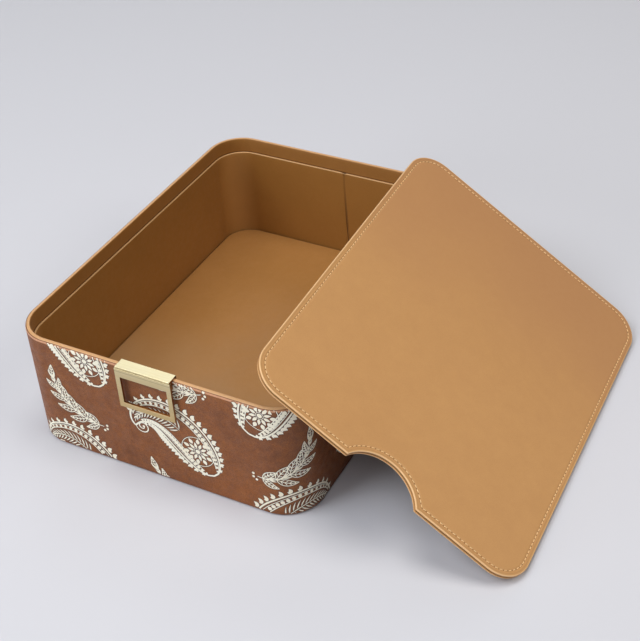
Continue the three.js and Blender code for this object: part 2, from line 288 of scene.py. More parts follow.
def wrap_profile_at(way, lift=0.0):
    """Inset and height of a place on the wrap, by its way up from the foot of the face."""
    if way < 0:
        turned = way / wrap_thickness
        reach = wrap_thickness + lift
        return (
            wrap_thickness - reach * math.cos(turned),
            wrap_face_foot + reach * math.sin(turned),
        )
    if way <= wrap_face_height:
        return -lift, wrap_face_foot + way
    turned = (way - wrap_face_height) / roll_way * quarter_turn
    lean = math.atan2(math.sin(turned) / roll_rise, math.cos(turned) / roll_width)
    return (
        roll_width * (1 - math.cos(turned)) - lift * math.cos(lean),
        wrap_face_head + roll_rise * math.sin(turned) + lift * math.sin(lean),
    )


def on_wrap(station, way, lift=0.0):
    """A place on the wrap or lifted off it. The wrap swells least where its edges are held."""
    inset, z = wrap_profile_at(way, lift)
    held = share_between(0, wrap_held, z - wrap_face_foot)
    held *= share_between(0, wrap_held, wrap_face_head - z)
    out = swell(on_station(station, 0, z), *wrap_swell) * held
    return on_station(station, inset - out, z)


def wrap_end(offset):
    """The end of the wrap at its seam. The walk starts towards -X."""
    return offset, half_y, quarter_turn, 0.0 if offset < 0 else box_way


def make_outer_wrap():
    hem = [(hem_width, wrap_bottom), (hem_start, wrap_bottom)]
    foot_way = -wrap_thickness * quarter_turn
    ways = [foot_way * (1 - step / foot_steps) for step in range(foot_steps + 1)]
    ways += [wrap_face_height * step / face_steps for step in range(1, face_steps + 1)]
    ways += [wrap_face_height + roll_way * step / roll_steps for step in range(1, roll_steps + 1)]
    back = [
        (wrap_thickness, wrap_top),
        (wrap_thickness, wrap_face_foot),
        (hem_width, wrap_bottom + wrap_thickness),
    ]
    profile = hem + [wrap_profile_at(way) for way in ways] + back
    stations = [wrap_end(-wrap_seam / 2), *box_walk[1:-1], wrap_end(wrap_seam / 2)]
    rows = []
    for station in stations:
        row = [on_station(station, *place) for place in hem]
        row += [on_wrap(station, way) for way in ways]
        row += [on_station(station, *place) for place in back]
        rows.append(row)
    across = [v + foot_way - (hem_width - wrap_thickness) for v in way_along(profile)]
    along = [station[3] for station in stations]
    return Skin().add(rows, grid(along, across)).piece("wrap", 40)


wrap = make_outer_wrap()
hand_over(wrap, "box", "outer_wrap")

# %% [markdown]
# ## The rim and the inside
#
# The tan lining is padded by its own thickness where it goes over the board, so the rim is softly
# crowned. Below it stands the inner wall. Its leather is folded over its top edge, and that fold is
# the pale line of the ledge. Its two ends meet at the back in an open butt seam, which leans a
# little and opens towards the floor, as a hand-cut seam does.

# %% Rim lining
rim_rounding = 0.75 * mm
rim_crown = 0.12 * mm
lining_thickness = 0.8 * mm
lining_tuck = 0.2 * mm
lining_swell = (60 * mm, 0.1 * mm, 1.3)
profile_step = 4 * mm


def on_lining(station, inset, z):
    """The lining swells half as far upwards as it does outwards."""
    place = on_station(station, inset, z)
    return place + (outward(station) + Vector((0, 0, 0.5))) * swell(place, *lining_swell) / 2


def make_rim_lining():
    rounding_height = box_height - rim_crown - rim_rounding
    tucked = box_height - lining_thickness - lining_tuck
    face_foot = (wall_thickness, under_floor)
    profile = [
        (rim_outer, tucked),
        *round_edge(rim_outer + rim_rounding, rounding_height, rim_rounding, 180, 90),
        ((rim_outer + wall_thickness) / 2, box_height),
        *round_edge(wall_thickness - rim_rounding, rounding_height, rim_rounding, 90, 0),
    ]
    profile += [
        *straight(profile[-1], face_foot, profile_step),
        face_foot,
        (wall_thickness - lining_thickness, under_floor),
        (wall_thickness - lining_thickness, tucked),
    ]
    rows = [[on_lining(station, *place) for place in profile] for station in box_walk[:-1]]
    along = [station[3] for station in box_walk[:-1]]
    skin = Skin().add(rows, grid(along, way_along(profile)), comes_round=True)
    return skin.piece("rim_lining_leather")


rim_lining = make_rim_lining()
hand_over(rim_lining, "box", "rim_lining")

# %% Leather of the inner wall, with its leaning seam
liner_rounding = 0.45 * mm
liner_skin = 0.6 * mm
liner_swell = (70 * mm, 0.14 * mm, 8.1)
liner_held = 8 * mm
seam_gap_above = 0.35 * mm
seam_gap_below = 1.0 * mm
seam_top = -0.5 * mm
seam_lean = 3.3 * mm  # how far the seam has moved to the right at the floor
seam_end_turn = 0.35 * mm
seam_flat = 2 * mm  # how far each end runs on before the even walk goes on
seam_clear = 1 * mm
fold_width = 0.1 * mm


def seam_edge(z, side):
    """How far to the right the seam's left or right edge lies. It leans, and opens downwards."""
    share = (ledge_height - z) / (ledge_height - floor_height)
    gap = seam_gap_above + (seam_gap_below - seam_gap_above) * share
    return seam_top + seam_lean * share * share + side * gap / 2


def make_liner_leather():
    rounding_height = ledge_height - liner_rounding
    foot = (liner_face, under_floor)
    profile = [
        (liner_outer, ledge_height - liner_skin),
        *round_edge(liner_outer + liner_rounding, rounding_height, liner_rounding, 180, 90),
        *round_edge(liner_face - liner_rounding, rounding_height, liner_rounding, 90, 0),
    ]
    profile += [
        *straight(profile[-1], foot, profile_step),
        foot,
        (liner_face - liner_skin, under_floor),
        (liner_face - liner_skin, ledge_height - liner_skin),
    ]

    def end_row(side, offset, sink):
        """A row beside the seam, where the cut edge turns down to the board."""
        row = []
        for inset, z in profile:
            station = (seam_edge(z, side) + side * offset, half_y, quarter_turn)
            row.append(on_station(station, inset - (sink if inset > folded else 0.0), z))
        return row

    def wall_row(station):
        row = []
        for inset, z in profile:
            place = on_station(station, inset, z)
            held = share_between(0, liner_held, ledge_height - z)
            row.append(place + outward(station) * held * abs(swell(place, *liner_swell)))
        return row

    folded = liner_outer + fold_width
    ends = [
        (0.0, seam_end_turn),
        (seam_end_turn * 0.3, seam_end_turn * 0.3),
        (seam_end_turn, 0.0),
        (seam_flat, 0.0),
    ]
    beside_seam = seam_lean + seam_clear
    walk = [s for s in box_walk if abs(s[0]) > beside_seam or s[1] < half_y]
    rows = [end_row(-1, *end) for end in ends]
    rows += [wall_row(station) for station in walk]
    rows += [end_row(1, *end) for end in ends[::-1]]
    along = [offset for offset, _ in ends]
    along += [station[3] for station in walk]
    along += [box_way - offset for offset, _ in ends[::-1]]
    return Skin().add(rows, grid(along, way_along(profile))).piece("inner_wall_leather")


liner_leather = make_liner_leather()
hand_over(liner_leather, "box", "liner_leather")

# %% [markdown]
# The floor is a card covered with leather and dropped in, so it has a soft edge and a thin groove
# all round, darkened by painted shade. It is made as nested rings, from its lower edge over the
# rounding and a little way in, where one flat face closes the last ring.

# %% Floor leather
floor_rounding = 0.6 * mm
floor_edge_ways = (1.2 * mm, 4 * mm)


def make_plate(name, ring_at, levels, along, crease_degrees=35):
    """Nested rings of one outline at each (inset, z) of levels, with a face at both ends."""
    rows = [ring_at(inset, z) for inset, z in levels]
    coordinates = [(u, v) for v in way_along(levels) for u in along]
    return Skin().add(rows, coordinates).piece(name, crease_degrees)


def make_floor_leather():
    rounding_height = floor_height - floor_rounding
    levels = [(floor_inset, floor_low.z)]
    levels += round_edge(floor_inset + floor_rounding, rounding_height, floor_rounding, 180, 90)
    levels += [(floor_inset + way, floor_height) for way in floor_edge_ways]
    walk = box_walk[:-1]

    def ring_at(inset, z):
        return [on_station(station, inset, z) for station in walk]

    return make_plate("floor_leather_sheet", ring_at, levels, [s[3] for s in walk])


floor_leather = make_floor_leather()
hand_over(floor_leather, "box", "floor_leather")

# %% [markdown]
# ## The lid
#
# The lid drops onto the ledge, so it is as large as the inside of the rim less a little play, with
# corners to match. In the middle of its front edge a round notch leaves room for a finger and for
# the clasp's leg. Its place is worked out as the frame's source does it: the foot on the table,
# the underside on the rim, and a slight turn, because nobody lays a lid down quite straight.

# %% Size and place of the lid
lid_play = 0.5 * mm
lid_width = box_width - 2 * (wall_thickness + lid_play)
lid_depth = box_depth - 2 * (wall_thickness + lid_play)
lid_corner = corner_radius - wall_thickness - lid_play
lid_skin = 1.5 * mm
lid_core = 1 * mm
glue_line = 0.1 * mm
lid_thickness = 2 * (lid_skin + glue_line) + lid_core
lid_core_inset = 0.8 * mm

lid_reach = 55.5 * mm
lid_turn = math.radians(1.8)
lid_slide = -4 * mm
rest_gap = 0.3 * mm
lid_tilt = math.asin(box_height / (lid_width - lid_reach))


def lid_place():
    """The matrix that takes the lid from its own axes to where it leans."""
    across = abs(math.sin(lid_turn)) * half_y
    along = math.cos(lid_turn) * half_x
    edges = [(rim_outer, box_height), (0.0, wrap_top)]
    feet = [
        along + across + corner_radius - inset + (z + rest_gap) / math.tan(lid_tilt)
        for inset, z in edges
    ]
    middle = max(feet) - lid_width / 2 * math.cos(lid_tilt)
    centre = Vector((
        (middle - lid_slide * math.sin(lid_turn)) / math.cos(lid_turn),
        lid_slide,
        lid_width / 2 * math.sin(lid_tilt),
    ))
    turned = Matrix.Rotation(lid_turn, 4, "Z") @ Matrix.Rotation(lid_tilt, 4, "Y")
    return Matrix.Translation(centre) @ turned


lid_matrix = lid_place()
print("lid leans at", round(math.degrees(lid_tilt), 2), "degrees")

# %% The lid's outline at any inset, with its finger notch
notch_radius = 33.7 * mm
notch_depth = 18.7 * mm
notch_rounding = 1.5 * mm
stitch_inset = 4.4 * mm
lid_corner_steps, notch_steps, notch_rounding_steps, lid_side_steps = 16, 40, 5, 12


def lid_outline(inset):
    """Points of the outline at an inset from the edge, the same number at every inset."""
    corner_x, corner_y = lid_width / 2 - lid_corner, lid_depth / 2 - lid_corner
    front = -lid_depth / 2
    fillet = max(notch_rounding - inset, 0.0)
    fillet_rise = max(notch_rounding, inset)
    rise = notch_radius - notch_depth + fillet_rise
    mouth = math.sqrt((notch_radius + fillet_rise) ** 2 - rise**2)
    slope = math.atan2(rise, mouth)
    notch_y = front + notch_depth - notch_radius
    fillet_y = front + fillet_rise
    corners = [
        arc(x, y, lid_corner - inset, number * quarter_turn, (number + 1) * quarter_turn,
            lid_corner_steps)
        for number, (x, y) in enumerate((
            (corner_x, corner_y), (-corner_x, corner_y), (-corner_x, -corner_y),
            (corner_x, -corner_y),
        ))
    ]
    notch = arc(-mouth, fillet_y, fillet, -quarter_turn, -slope, notch_rounding_steps)
    notch += arc(0, notch_y, notch_radius + inset, math.pi - slope, slope, notch_steps)[1:-1]
    notch += arc(mouth, fillet_y, fillet, slope - math.pi, -quarter_turn, notch_rounding_steps)
    outline = []
    for stretch in [*corners[:3], notch, corners[3]]:
        outline += lid_side(outline[-1], stretch[0]) if outline else []
        outline += stretch
    return outline + lid_side(outline[-1], outline[0])


def lid_side(start, end):
    """Points that break up a straight side, always as many for one side."""
    return straight(start, end, math.dist(start, end) / lid_side_steps)


def lid_ring(inset, z):
    return [(x, y, z) for x, y in lid_outline(inset)]


stitch_line = lid_outline(stitch_inset)
lid_way = way_along([*stitch_line, stitch_line[0]])
print("stitch line round the lid in mm:", round(lid_way[-1] / mm, 1))

# %% [markdown]
# The upper and the lower leather are alike, one turned over. Each has a rounded edge, a fine line
# pressed in with a warm creasing iron close to the edge, and a shallow groove in which the
# stitches lie, drawn in a little where the thread pulls.

# %% Leather of the lid
lid_hem = 1.5 * mm
lid_rounding = 0.55 * mm
lid_under_rounding = 0.3 * mm
crease_inset = 2 * mm
crease_half = 0.28 * mm
crease_depth = 0.1 * mm
groove_half = 0.62 * mm
groove_depth = 0.3 * mm
stitch_pull = 0.08 * mm
crease_form = ((-2, 0), (-1, 0.4), (0, 1), (1, 0.4), (2, 0))
groove_form = (
    (-2.2, 0.0), (-1.3, stitch_pull), (-0.7, groove_depth),
    (0.7, groove_depth), (1.3, stitch_pull), (2.2, 0.0), (4, 0.0),
)
lid_edge = [
    (lid_hem, 0.0),
    *round_edge(lid_under_rounding, lid_under_rounding, lid_under_rounding, 270, 180, 3),
    *round_edge(lid_rounding, lid_skin - lid_rounding, lid_rounding, 180, 90, 5),
]
lid_flat_way = way_along(lid_edge)[-1]


def way_on_lid(inset):
    """The across coordinate of a place on a lid leather's flat top, which lies after its edge."""
    return lid_flat_way + inset - lid_rounding


def lid_leather_matrix(turned_over):
    """Lays a leather on the core, or under it with its good face down."""
    if turned_over:
        own = Matrix.Translation((0, 0, lid_skin)) @ Matrix.Rotation(math.pi, 4, "Y")
    else:
        own = Matrix.Translation((0, 0, lid_thickness - lid_skin))
    return lid_matrix @ own


def make_lid_leather(name, turned_over):
    levels = list(lid_edge)
    for half_widths, share in crease_form:
        levels.append((crease_inset + half_widths * crease_half, lid_skin - share * crease_depth))
    for half_widths, depth in groove_form:
        levels.append((stitch_inset + half_widths * groove_half, lid_skin - depth))
    leather = make_plate(name, lid_ring, levels, lid_way[:-1], 30)
    leather.matrix_world = lid_leather_matrix(turned_over)
    return leather


lid_top = make_lid_leather("lid_upper_leather", turned_over=False)
lid_bottom = make_lid_leather("lid_lower_leather", turned_over=True)
hand_over(lid_top, "lid", "lid_top_leather")
hand_over(lid_bottom, "lid", "lid_bottom_leather")

# %% Stiffener that shows in the lid's edge
stiffener_ease = 0.25 * mm


def make_lid_stiffener():
    low = lid_skin + glue_line / 2
    high = low + lid_core + glue_line
    levels = [
        (lid_core_inset + stiffener_ease, low),
        (lid_core_inset, low + stiffener_ease),
        (lid_core_inset, high - stiffener_ease),
        (lid_core_inset + stiffener_ease, high),
    ]
    stiffener = make_plate("lid_stiffener", lid_ring, levels, lid_way[:-1], 60)
    stiffener.matrix_world = lid_matrix
    return stiffener


lid_stiffener = make_lid_stiffener()
hand_over(lid_stiffener, "lid", "lid_core")

# %% [markdown]
# ## The sewing
#
# A real seam is not a line but some three hundred short bridges of waxed thread. Each comes up out
# of one hole, lies over the leather with a slight slant, and goes down the next hole. One stitch is
# a bent, twisted rope: a closed tube whose section has three lobes that turn along it. The loop
# lays one on each stretch between two holes.

# %% One row of stitches
stitch_pitch = 3.8 * mm
stitch_length = 2.9 * mm
thread_radius = 0.29 * mm
thread_sink = 0.3 * mm
stitch_slant = math.radians(5)
lobes, lobe_height, lobe_turn = 3, 0.09, 6
stitch_sections = 9
stitch_sides = 9

stitch_count = round(lid_way[-1] / stitch_pitch)
true_pitch = lid_way[-1] / stitch_count


def on_stitch_line(way):
    """The place at a way along the closed line of the stitches."""
    way %= lid_way[-1]
    number = next(n for n in range(len(stitch_line)) if lid_way[n + 1] >= way)
    start, end = stitch_line[number], stitch_line[(number + 1) % len(stitch_line)]
    share = (way - lid_way[number]) / (lid_way[number + 1] - lid_way[number])
    return Vector(start).lerp(Vector(end), share)


def make_stitches(name, turned_over, seed):
    chance = random.Random(seed)
    skin = Skin()
    base = lid_skin - groove_depth + thread_radius * 0.75
    for number in range(stitch_count):
        middle_way = (number + 0.5) * true_pitch
        start = on_stitch_line(middle_way - stitch_length / 2)
        end = on_stitch_line(middle_way + stitch_length / 2)
        heading = math.atan2(end.y - start.y, end.x - start.x)
        heading += stitch_slant + chance.uniform(-0.03, 0.03)
        length = (end - start).length * chance.uniform(0.96, 1.03)
        thick = thread_radius * chance.uniform(0.94, 1.06)
        turn, middle = Matrix.Rotation(heading, 2), (start + end) / 2
        rows, coordinates = [], []
        for section in range(stitch_sections):
            share = section / (stitch_sections - 1) * 2 - 1
            narrow = math.sqrt(max(0.0, 1 - abs(share) ** 5)) * 0.85 + 0.12
            x = share * length / 2
            height = base - thread_sink * share * share * (0.6 + 0.9 * abs(share) ** 3)
            row = []
            for side in range(stitch_sides):
                turned = math.tau * side / stitch_sides
                lobe = 1 + lobe_height * math.cos(lobes * turned + share * lobe_turn)
                reach = thick * narrow * lobe
                place = middle + turn @ Vector((x, reach * math.cos(turned)))
                row.append((*place, height + reach * math.sin(turned)))
                coordinates.append((middle_way + x, turned * thread_radius))
            rows.append(row)
        skin.add(rows, coordinates)
    stitches = skin.piece(name, 75)
    stitches.matrix_world = lid_leather_matrix(turned_over)
    return stitches


upper_stitches = make_stitches("lid_upper_stitches", False, 11)
lower_stitches = make_stitches("lid_lower_stitches", True, 12)
hand_over(upper_stitches, "lid", "lid_thread_top")
hand_over(lower_stitches, "lid", "lid_thread_bottom")
print("stitches in each row:", stitch_count, "at", round(true_pitch / mm, 2), "mm")

# %% [markdown]
# ## The clasp
#
# The saddle is a brass plate bent over the rim, with a leg inside and a lip in front that carries
# the open frame. Both are an outline at two depths, joined, and their edges are broken with a
# small bevel, as a file does on the real part. That thin bevel is what catches the light.

# %% Saddle and frame of the clasp
front_face = -box_depth / 2
saddle_low, saddle_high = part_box("clasp_saddle")
frame_low, frame_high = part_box("clasp_frame")
plate_thickness = 1.3 * mm
leg_thickness = 1.2 * mm
lip_thickness = 2.2 * mm
lip_height = 7 * mm
clasp_clearance = 0.2 * mm
top_bar = 7.7 * mm
side_bar = 4.1 * mm
bottom_bar = 4.6 * mm
broken_edge = 0.22 * mm
sharp_degrees = 30


def break_edges(piece):
    """A small round bevel on every sharp edge."""
    bevel = piece.modifiers.new("broken edges", "BEVEL")
    bevel.width = broken_edge
    bevel.segments = 3
    bevel.limit_method = "ANGLE"
    bevel.angle_limit = math.radians(sharp_degrees)
    bevel.harden_normals = True
    return piece


def make_clasp_saddle():
    leg_outer = -(wall_thickness + clasp_clearance)
    leg_inner = leg_outer - leg_thickness
    under = saddle_high.z - plate_thickness
    lip_front = clasp_clearance + lip_thickness
    lip_foot = box_height - lip_height
    plate_front = front_face - saddle_low.y
    outline = [
        (leg_inner, saddle_low.z),
        (leg_outer, saddle_low.z),
        (leg_outer, under),
        (clasp_clearance, under),
        (clasp_clearance, lip_foot),
        (lip_front, lip_foot),
        (lip_front, under),
        (plate_front, under),
        (plate_front, saddle_high.z),
        (leg_inner, saddle_high.z),
    ]
    rows = [[(x, front_face - out, z) for out, z in outline] for x in (saddle_low.x, saddle_high.x)]
    return break_edges(Skin().add(rows).piece("clasp_saddle_plate", sharp_degrees))


def make_clasp_frame():
    def rectangle(y, side_inset, low_inset, high_inset):
        side = frame_high.x - side_inset
        low, high = frame_low.z + low_inset, frame_high.z - high_inset
        return [(-side, y, low), (side, y, low), (side, y, high), (-side, y, high)]

    rows = [
        rectangle(frame_low.y, 0, 0, 0),
        rectangle(frame_high.y, 0, 0, 0),
        rectangle(frame_high.y, side_bar, bottom_bar, top_bar),
        rectangle(frame_low.y, side_bar, bottom_bar, top_bar),
    ]
    skin = Skin().add(rows, comes_round=True)
    return break_edges(skin.piece("clasp_open_frame", sharp_degrees))


clasp_saddle = make_clasp_saddle()
clasp_frame = make_clasp_frame()
hand_over(clasp_saddle, "box", "clasp_saddle")
hand_over(clasp_frame, "box", "clasp_frame")

# %% [markdown]
# ## The print
#
# The wrap carries a printed ornament in cream. Here it is a traditional one: curled drops, of the
# kind that has been woven and printed for centuries, with leaf sprigs between them. A printed
# ornament could be drawn by a shader, but fine pen lines want exact edges, so each pen line is a
# thin flat strip of ink laid on the wrap. A pen line is a row of places with a half width at each,
# in millimetres, and one function lays it on the leather, over the rolled edge and round the
# corners.

# %% Pen lines
broad_pen, even_pen, fine_pen, hair_pen = 1.5, 0.9, 0.6, 0.45
leaf_steps, dot_steps = 7, 6


def bending_path(start, heading_at, length, steps):
    """Places (x, y, heading) along a path that bends with the share of it that is gone."""
    x, y = start
    path = []
    for step in range(steps + 1):
        heading = heading_at(step / steps)
        path.append((x, y, heading))
        x += length / steps * math.cos(heading)
        y += length / steps * math.sin(heading)
    return path


class Pen:
    """Collects pen lines in millimetres: each is a list of (x, y, half width)."""

    def __init__(self):
        self.lines = []

    def line(self, places, width, taper=0.0):
        last = len(places) - 1
        drawn = []
        for number, (x, y) in enumerate(places):
            from_end = min(number, last - number) / last * 2
            thin = 1 - taper * (1 - min(1, from_end * 2.5))
            drawn.append((x, y, width / 2 * thin))
        self.lines.append(drawn)

    def leaf(self, start, heading, length, half_width, bend=0.0):
        """A filled leaf, pointed at both ends."""
        path = bending_path(start, lambda share: heading + bend * share, length, leaf_steps)
        self.lines.append([
            (x, y, half_width * math.sin(math.pi * (step / leaf_steps) ** 0.8) + 0.05)
            for step, (x, y, _) in enumerate(path)
        ])

    def dot(self, x, y, radius):
        shares = [step / dot_steps * 2 - 1 for step in range(dot_steps + 1)]
        self.lines.append([
            (x + share * radius, y, radius * math.sqrt(max(0.02, 1 - share * share)))
            for share in shares
        ])

    def ring(self, x, y, radius, width, steps):
        self.line(arc(x, y, radius, 0, math.tau, steps), width)

    def centred(self, longest):
        """The pen lines with their middle at the origin and no two places far apart."""
        xs = [place[0] for line in self.lines for place in line]
        ys = [place[1] for line in self.lines for place in line]
        middle_x, middle_y = (min(xs) + max(xs)) / 2, (min(ys) + max(ys)) / 2
        return [
            finer([(x - middle_x, y - middle_y, half) for x, y, half in line], longest)
            for line in self.lines
        ]


def finer(line, longest):
    """The same pen line with more places where two lie further apart than longest."""
    places = [line[0]]
    for here in line[1:]:
        before = places[-1]
        pieces = max(1, math.ceil(math.dist(before[:2], here[:2]) / longest))
        for number in range(1, pieces + 1):
            places.append(tuple(b + (h - b) * number / pieces for b, h in zip(before, here)))
    return places


# %% A curled drop
# Sizes of an ornament are in millimetres. Across the drop 0 is its middle and 1 its outline, and
# along it 0 is the round end and 1 the tip.
drop_length, drop_widest, drop_bend, drop_steps = 98.0, 27.0, 2.75, 80
# Across, from and to along the drop, steps and pen of the outlines
drop_outlines = (
    (1.0, 0.0, 1.0, drop_steps, broad_pen),
    (0.86, 0.015, 0.97, 60, fine_pen),
    (0.6, 0.06, 0.9, 60, even_pen),
)
# How many there are in a row, where it starts and the share of the length that it covers
bead_row, fringe_row, spray_row = (25, 0.035, 0.85), (19, 0.03, 0.86), (13, 0.47, 0.42)
bead_across, bead_least, bead_growth = 0.73, 0.28, 0.085
fringe_foot, fringe_head, fringe_least, fringe_growth = 1.07, 1.3, 1.6, 0.22
# A fringe leaf's lean, its length and half width as shares of its reach, and its bend
fringe_leaves = ((-0.4, 1.0, 0.3, 0.7), (0.5, 0.62, 0.2, 0.5))
plume_start, plume_end, plume_steps, plume_taper = 0.46, 0.96, 60, 0.6
spray_foot, spray_head, spray_reach, spray_limit = 0.05, 0.5, 0.045, 0.97
spray_half, spray_bend = 0.55, 0.4
petals, flower_share, flower_unit = 10, 0.24, drop_widest / 22
# Turn in petals, then foot, length and half width in flower units
petal_rings = ((0.0, 2.8, 4.6, 1.05), (0.5, 6.4, 4.4, 1.35))
# Radius, pen and steps of the rings round the flower's heart
flower_heart, flower_rings = 1.7, ((2.5, hair_pen, 20), (11.4, fine_pen, 36))
curl_reach, curl_steps, curl_turn, curl_close = drop_widest * 0.24, 24, 0.42, 27
curl_pen, curl_taper = 1.1, 0.4


def row_shares(count, start, span):
    """The places of a row of things along an ornament."""
    return [start + span * number / (count - 1) for number in range(count)]


class Drop:
    """Places in a curled drop, by the share of its length and how far across it they lie."""

    def __init__(self):
        def heading_at(share):
            return quarter_turn - drop_bend * share**2.6

        self.spine = bending_path((0.0, 0.0), heading_at, drop_length, drop_steps)

    def half(self, share):
        return drop_widest * 1.64 * math.sqrt(share) * (1 - share) ** 0.82 + 0.02

    def at(self, share, across):
        number = min(int(share * drop_steps), drop_steps - 1)
        part = share * drop_steps - number
        before, after = self.spine[number], self.spine[number + 1]
        x, y, heading = (b + (a - b) * part for b, a in zip(before, after))
        out = self.half(share) * across
        return x - out * math.sin(heading), y + out * math.cos(heading)

    def contour(self, across, start, end, steps):
        return [self.at(start + (end - start) * n / steps, across) for n in range(steps + 1)]


def heading_between(start, end):
    return math.atan2(end[1] - start[1], end[0] - start[0])


def draw_drop_border(pen, drop, side):
    """One side of the drop: three outlines, beads between two of them and a fringe of leaves."""
    for across, start, end, steps, width in drop_outlines:
        pen.line(drop.contour(side * across, start, end, steps), width)
    for share in row_shares(*bead_row):
        pen.dot(*drop.at(share, side * bead_across), bead_least + bead_growth * drop.half(share))
    for share in row_shares(*fringe_row):
        near, far = drop.at(share, side * fringe_foot), drop.at(share, side * fringe_head)
        heading = heading_between(near, far)
        reach = fringe_least + fringe_growth * drop.half(share)
        for lean, length, half_width, bend in fringe_leaves:
            pen.leaf(near, heading + side * lean, reach * length, reach * half_width, side * bend)


def draw_drop_plume(pen, drop):
    """A feathered spray that fills the narrow half of the drop."""
    pen.line(drop.contour(0.0, plume_start, plume_end, plume_steps), even_pen, plume_taper)
    for share in row_shares(*spray_row):
        for side in (-1, 1):
            start = drop.at(share, spray_foot * side)
            end = drop.at(min(spray_limit, share + spray_reach), spray_head * side)
            length = math.dist(start, end)
            pen.leaf(start, heading_between(start, end), length, spray_half, -side * spray_bend)


def draw_drop_flower(pen, drop):
    """A flower with two rings of petals in the round half of the drop."""
    x, y = drop.at(flower_share, 0.0)
    for petal in range(petals):
        for turn, foot, length, half_width in petal_rings:
            heading, reach = math.tau * (petal + turn) / petals, foot * flower_unit
            start = (x + reach * math.cos(heading), y + reach * math.sin(heading))
            pen.leaf(start, heading, length * flower_unit, half_width * flower_unit)
    pen.dot(x, y, flower_heart * flower_unit)
    for radius, width, steps in flower_rings:
        pen.ring(x, y, radius * flower_unit, width, steps)


def draw_drop_curl(pen, drop):
    """The spiral at the tip."""
    tip_x, tip_y, curl = drop.spine[-1]
    turned = curl - quarter_turn
    centre_x = tip_x + curl_reach * math.cos(turned)
    centre_y = tip_y + curl_reach * math.sin(turned)
    spiral = []
    for step in range(curl_steps):
        angle = turned + math.pi - step * curl_turn
        radius = curl_reach * (1 - step / curl_close)
        spiral.append((centre_x + radius * math.cos(angle), centre_y + radius * math.sin(angle)))
    pen.line(spiral, curl_pen, curl_taper)
    pen.dot(*spiral[-1], curl_pen)


drop_pen, drop = Pen(), Drop()
for side in (-1, 1):
    draw_drop_border(drop_pen, drop, side)
draw_drop_plume(drop_pen, drop)
draw_drop_flower(drop_pen, drop)
draw_drop_curl(drop_pen, drop)
print("pen lines in a drop:", len(drop_pen.lines))

# %% A leaf sprig
sprig_length, sprig_bend, stem_steps = 66.0, 1.5, 48
stem_pen, stem_taper, stem_fullest = 1.3, 0.5, 0.35
leaf_pairs = (5, 0.08, 0.76)
leaf_pair_size, leaf_pair_shrink, blade_past_leaf = 1.15, 0.8, 0.09
# Lean, length, half width and bend. The leaf at the head doesn't lean.
side_leaf, side_blade = (0.86, 17.5, 3.1, 0.6), (0.5, 7.5, 0.8, 0.4)
head_leaf, head_blade = (15.0, 2.7, 0.3), (0.5, 9.0, 1.0, 0.3)
vein_pen, midrib_pen, midrib_taper = 0.7, 0.85, 0.5
veined_leaf_steps, vein_spacing, vein_rise, vein_across = 16, 3, 2, 0.72
berries, berry_gap, berry_low, berry_rise, berry_radius = 3, 3.4, 2.2, 1.6, 1.3


def draw_veined_leaf(pen, foot, heading, length, half_width, bend):
    """Two outlines that meet at the tip, and a middle vein with short veins on either side."""
    steps = veined_leaf_steps
    middle = bending_path(foot, lambda share: heading + bend * share, length, steps)

    def beside(number, part):
        x, y, turned = middle[number]
        out = part * half_width * math.sin(math.pi * (number / steps) ** 0.75)
        return x - out * math.sin(turned), y + out * math.cos(turned)

    for side in (-1, 1):
        pen.line([beside(number, side) for number in range(steps + 1)], midrib_pen)
        for vein in range(vein_spacing, steps - vein_spacing, vein_spacing):
            tip = beside(vein + vein_rise, vein_across * side)
            pen.line([beside(vein, 0.0), tip], vein_pen)
    pen.line([beside(number, 0.0) for number in range(steps - 1)], midrib_pen, midrib_taper)


def draw_sprig(pen):
    """A curved stem with pairs of veined leaves, small blades between them and one at its head."""
    def blade(foot, heading, side, form, size=1.0):
        lean, length, half_width, bend = form
        pen.leaf(foot, heading + side * lean, length * size, half_width, -side * bend)

    def heading_at(share):
        return quarter_turn + sprig_bend * (share - stem_fullest)

    lean, length, half_width, bend = side_leaf
    stem = bending_path((0.0, 0.0), heading_at, sprig_length, stem_steps)
    pen.line([place[:2] for place in stem], stem_pen, stem_taper)
    for share in row_shares(*leaf_pairs):
        size = leaf_pair_size - leaf_pair_shrink * abs(share - stem_fullest)
        *foot, heading = stem[round(share * stem_steps)]
        *blade_foot, blade_heading = stem[round((share + blade_past_leaf) * stem_steps)]
        for side in (-1, 1):
            turned = heading + side * lean
            draw_veined_leaf(pen, foot, turned, length * size, half_width * size, -side * bend)
            blade(blade_foot, blade_heading, side, side_blade, size)
    *head, heading = stem[-1]
    draw_veined_leaf(pen, head, heading, *head_leaf)
    for side in (-1, 1):
        blade(head, heading, side, head_blade)
    for berry in range(berries):
        pen.dot(berry_gap * (berry - 1), -berry_low - berry_rise * (berry % 2), berry_radius)


sprig_pen = Pen()
draw_sprig(sprig_pen)
print("pen lines in a sprig:", len(sprig_pen.lines))

# %% [markdown]
# The ornaments are set out in columns round the wall, every second one half a repeat higher, as a
# printed roll of leather has them, so the upper and lower edges cut through some of them. Each is
# laid twice: once a little broader, in dark brown as painted shade round the print, and once in
# cream on top of that.

# %% Lay the ink on the wrap
ink_lift = 0.065 * mm
ink_layers = 0.04 * mm
ink_layer = 0.0037 * mm  # each line lies this much higher than the one before, so none coincide
ink_thickness = 0.02 * mm
outline_lift = 0.02 * mm
outline_spread = 0.45 * mm
ink_step = 1.45 * mm
broad_stroke = 2.5 * mm
ink_top_way = wrap_face_height + roll_way * 0.85


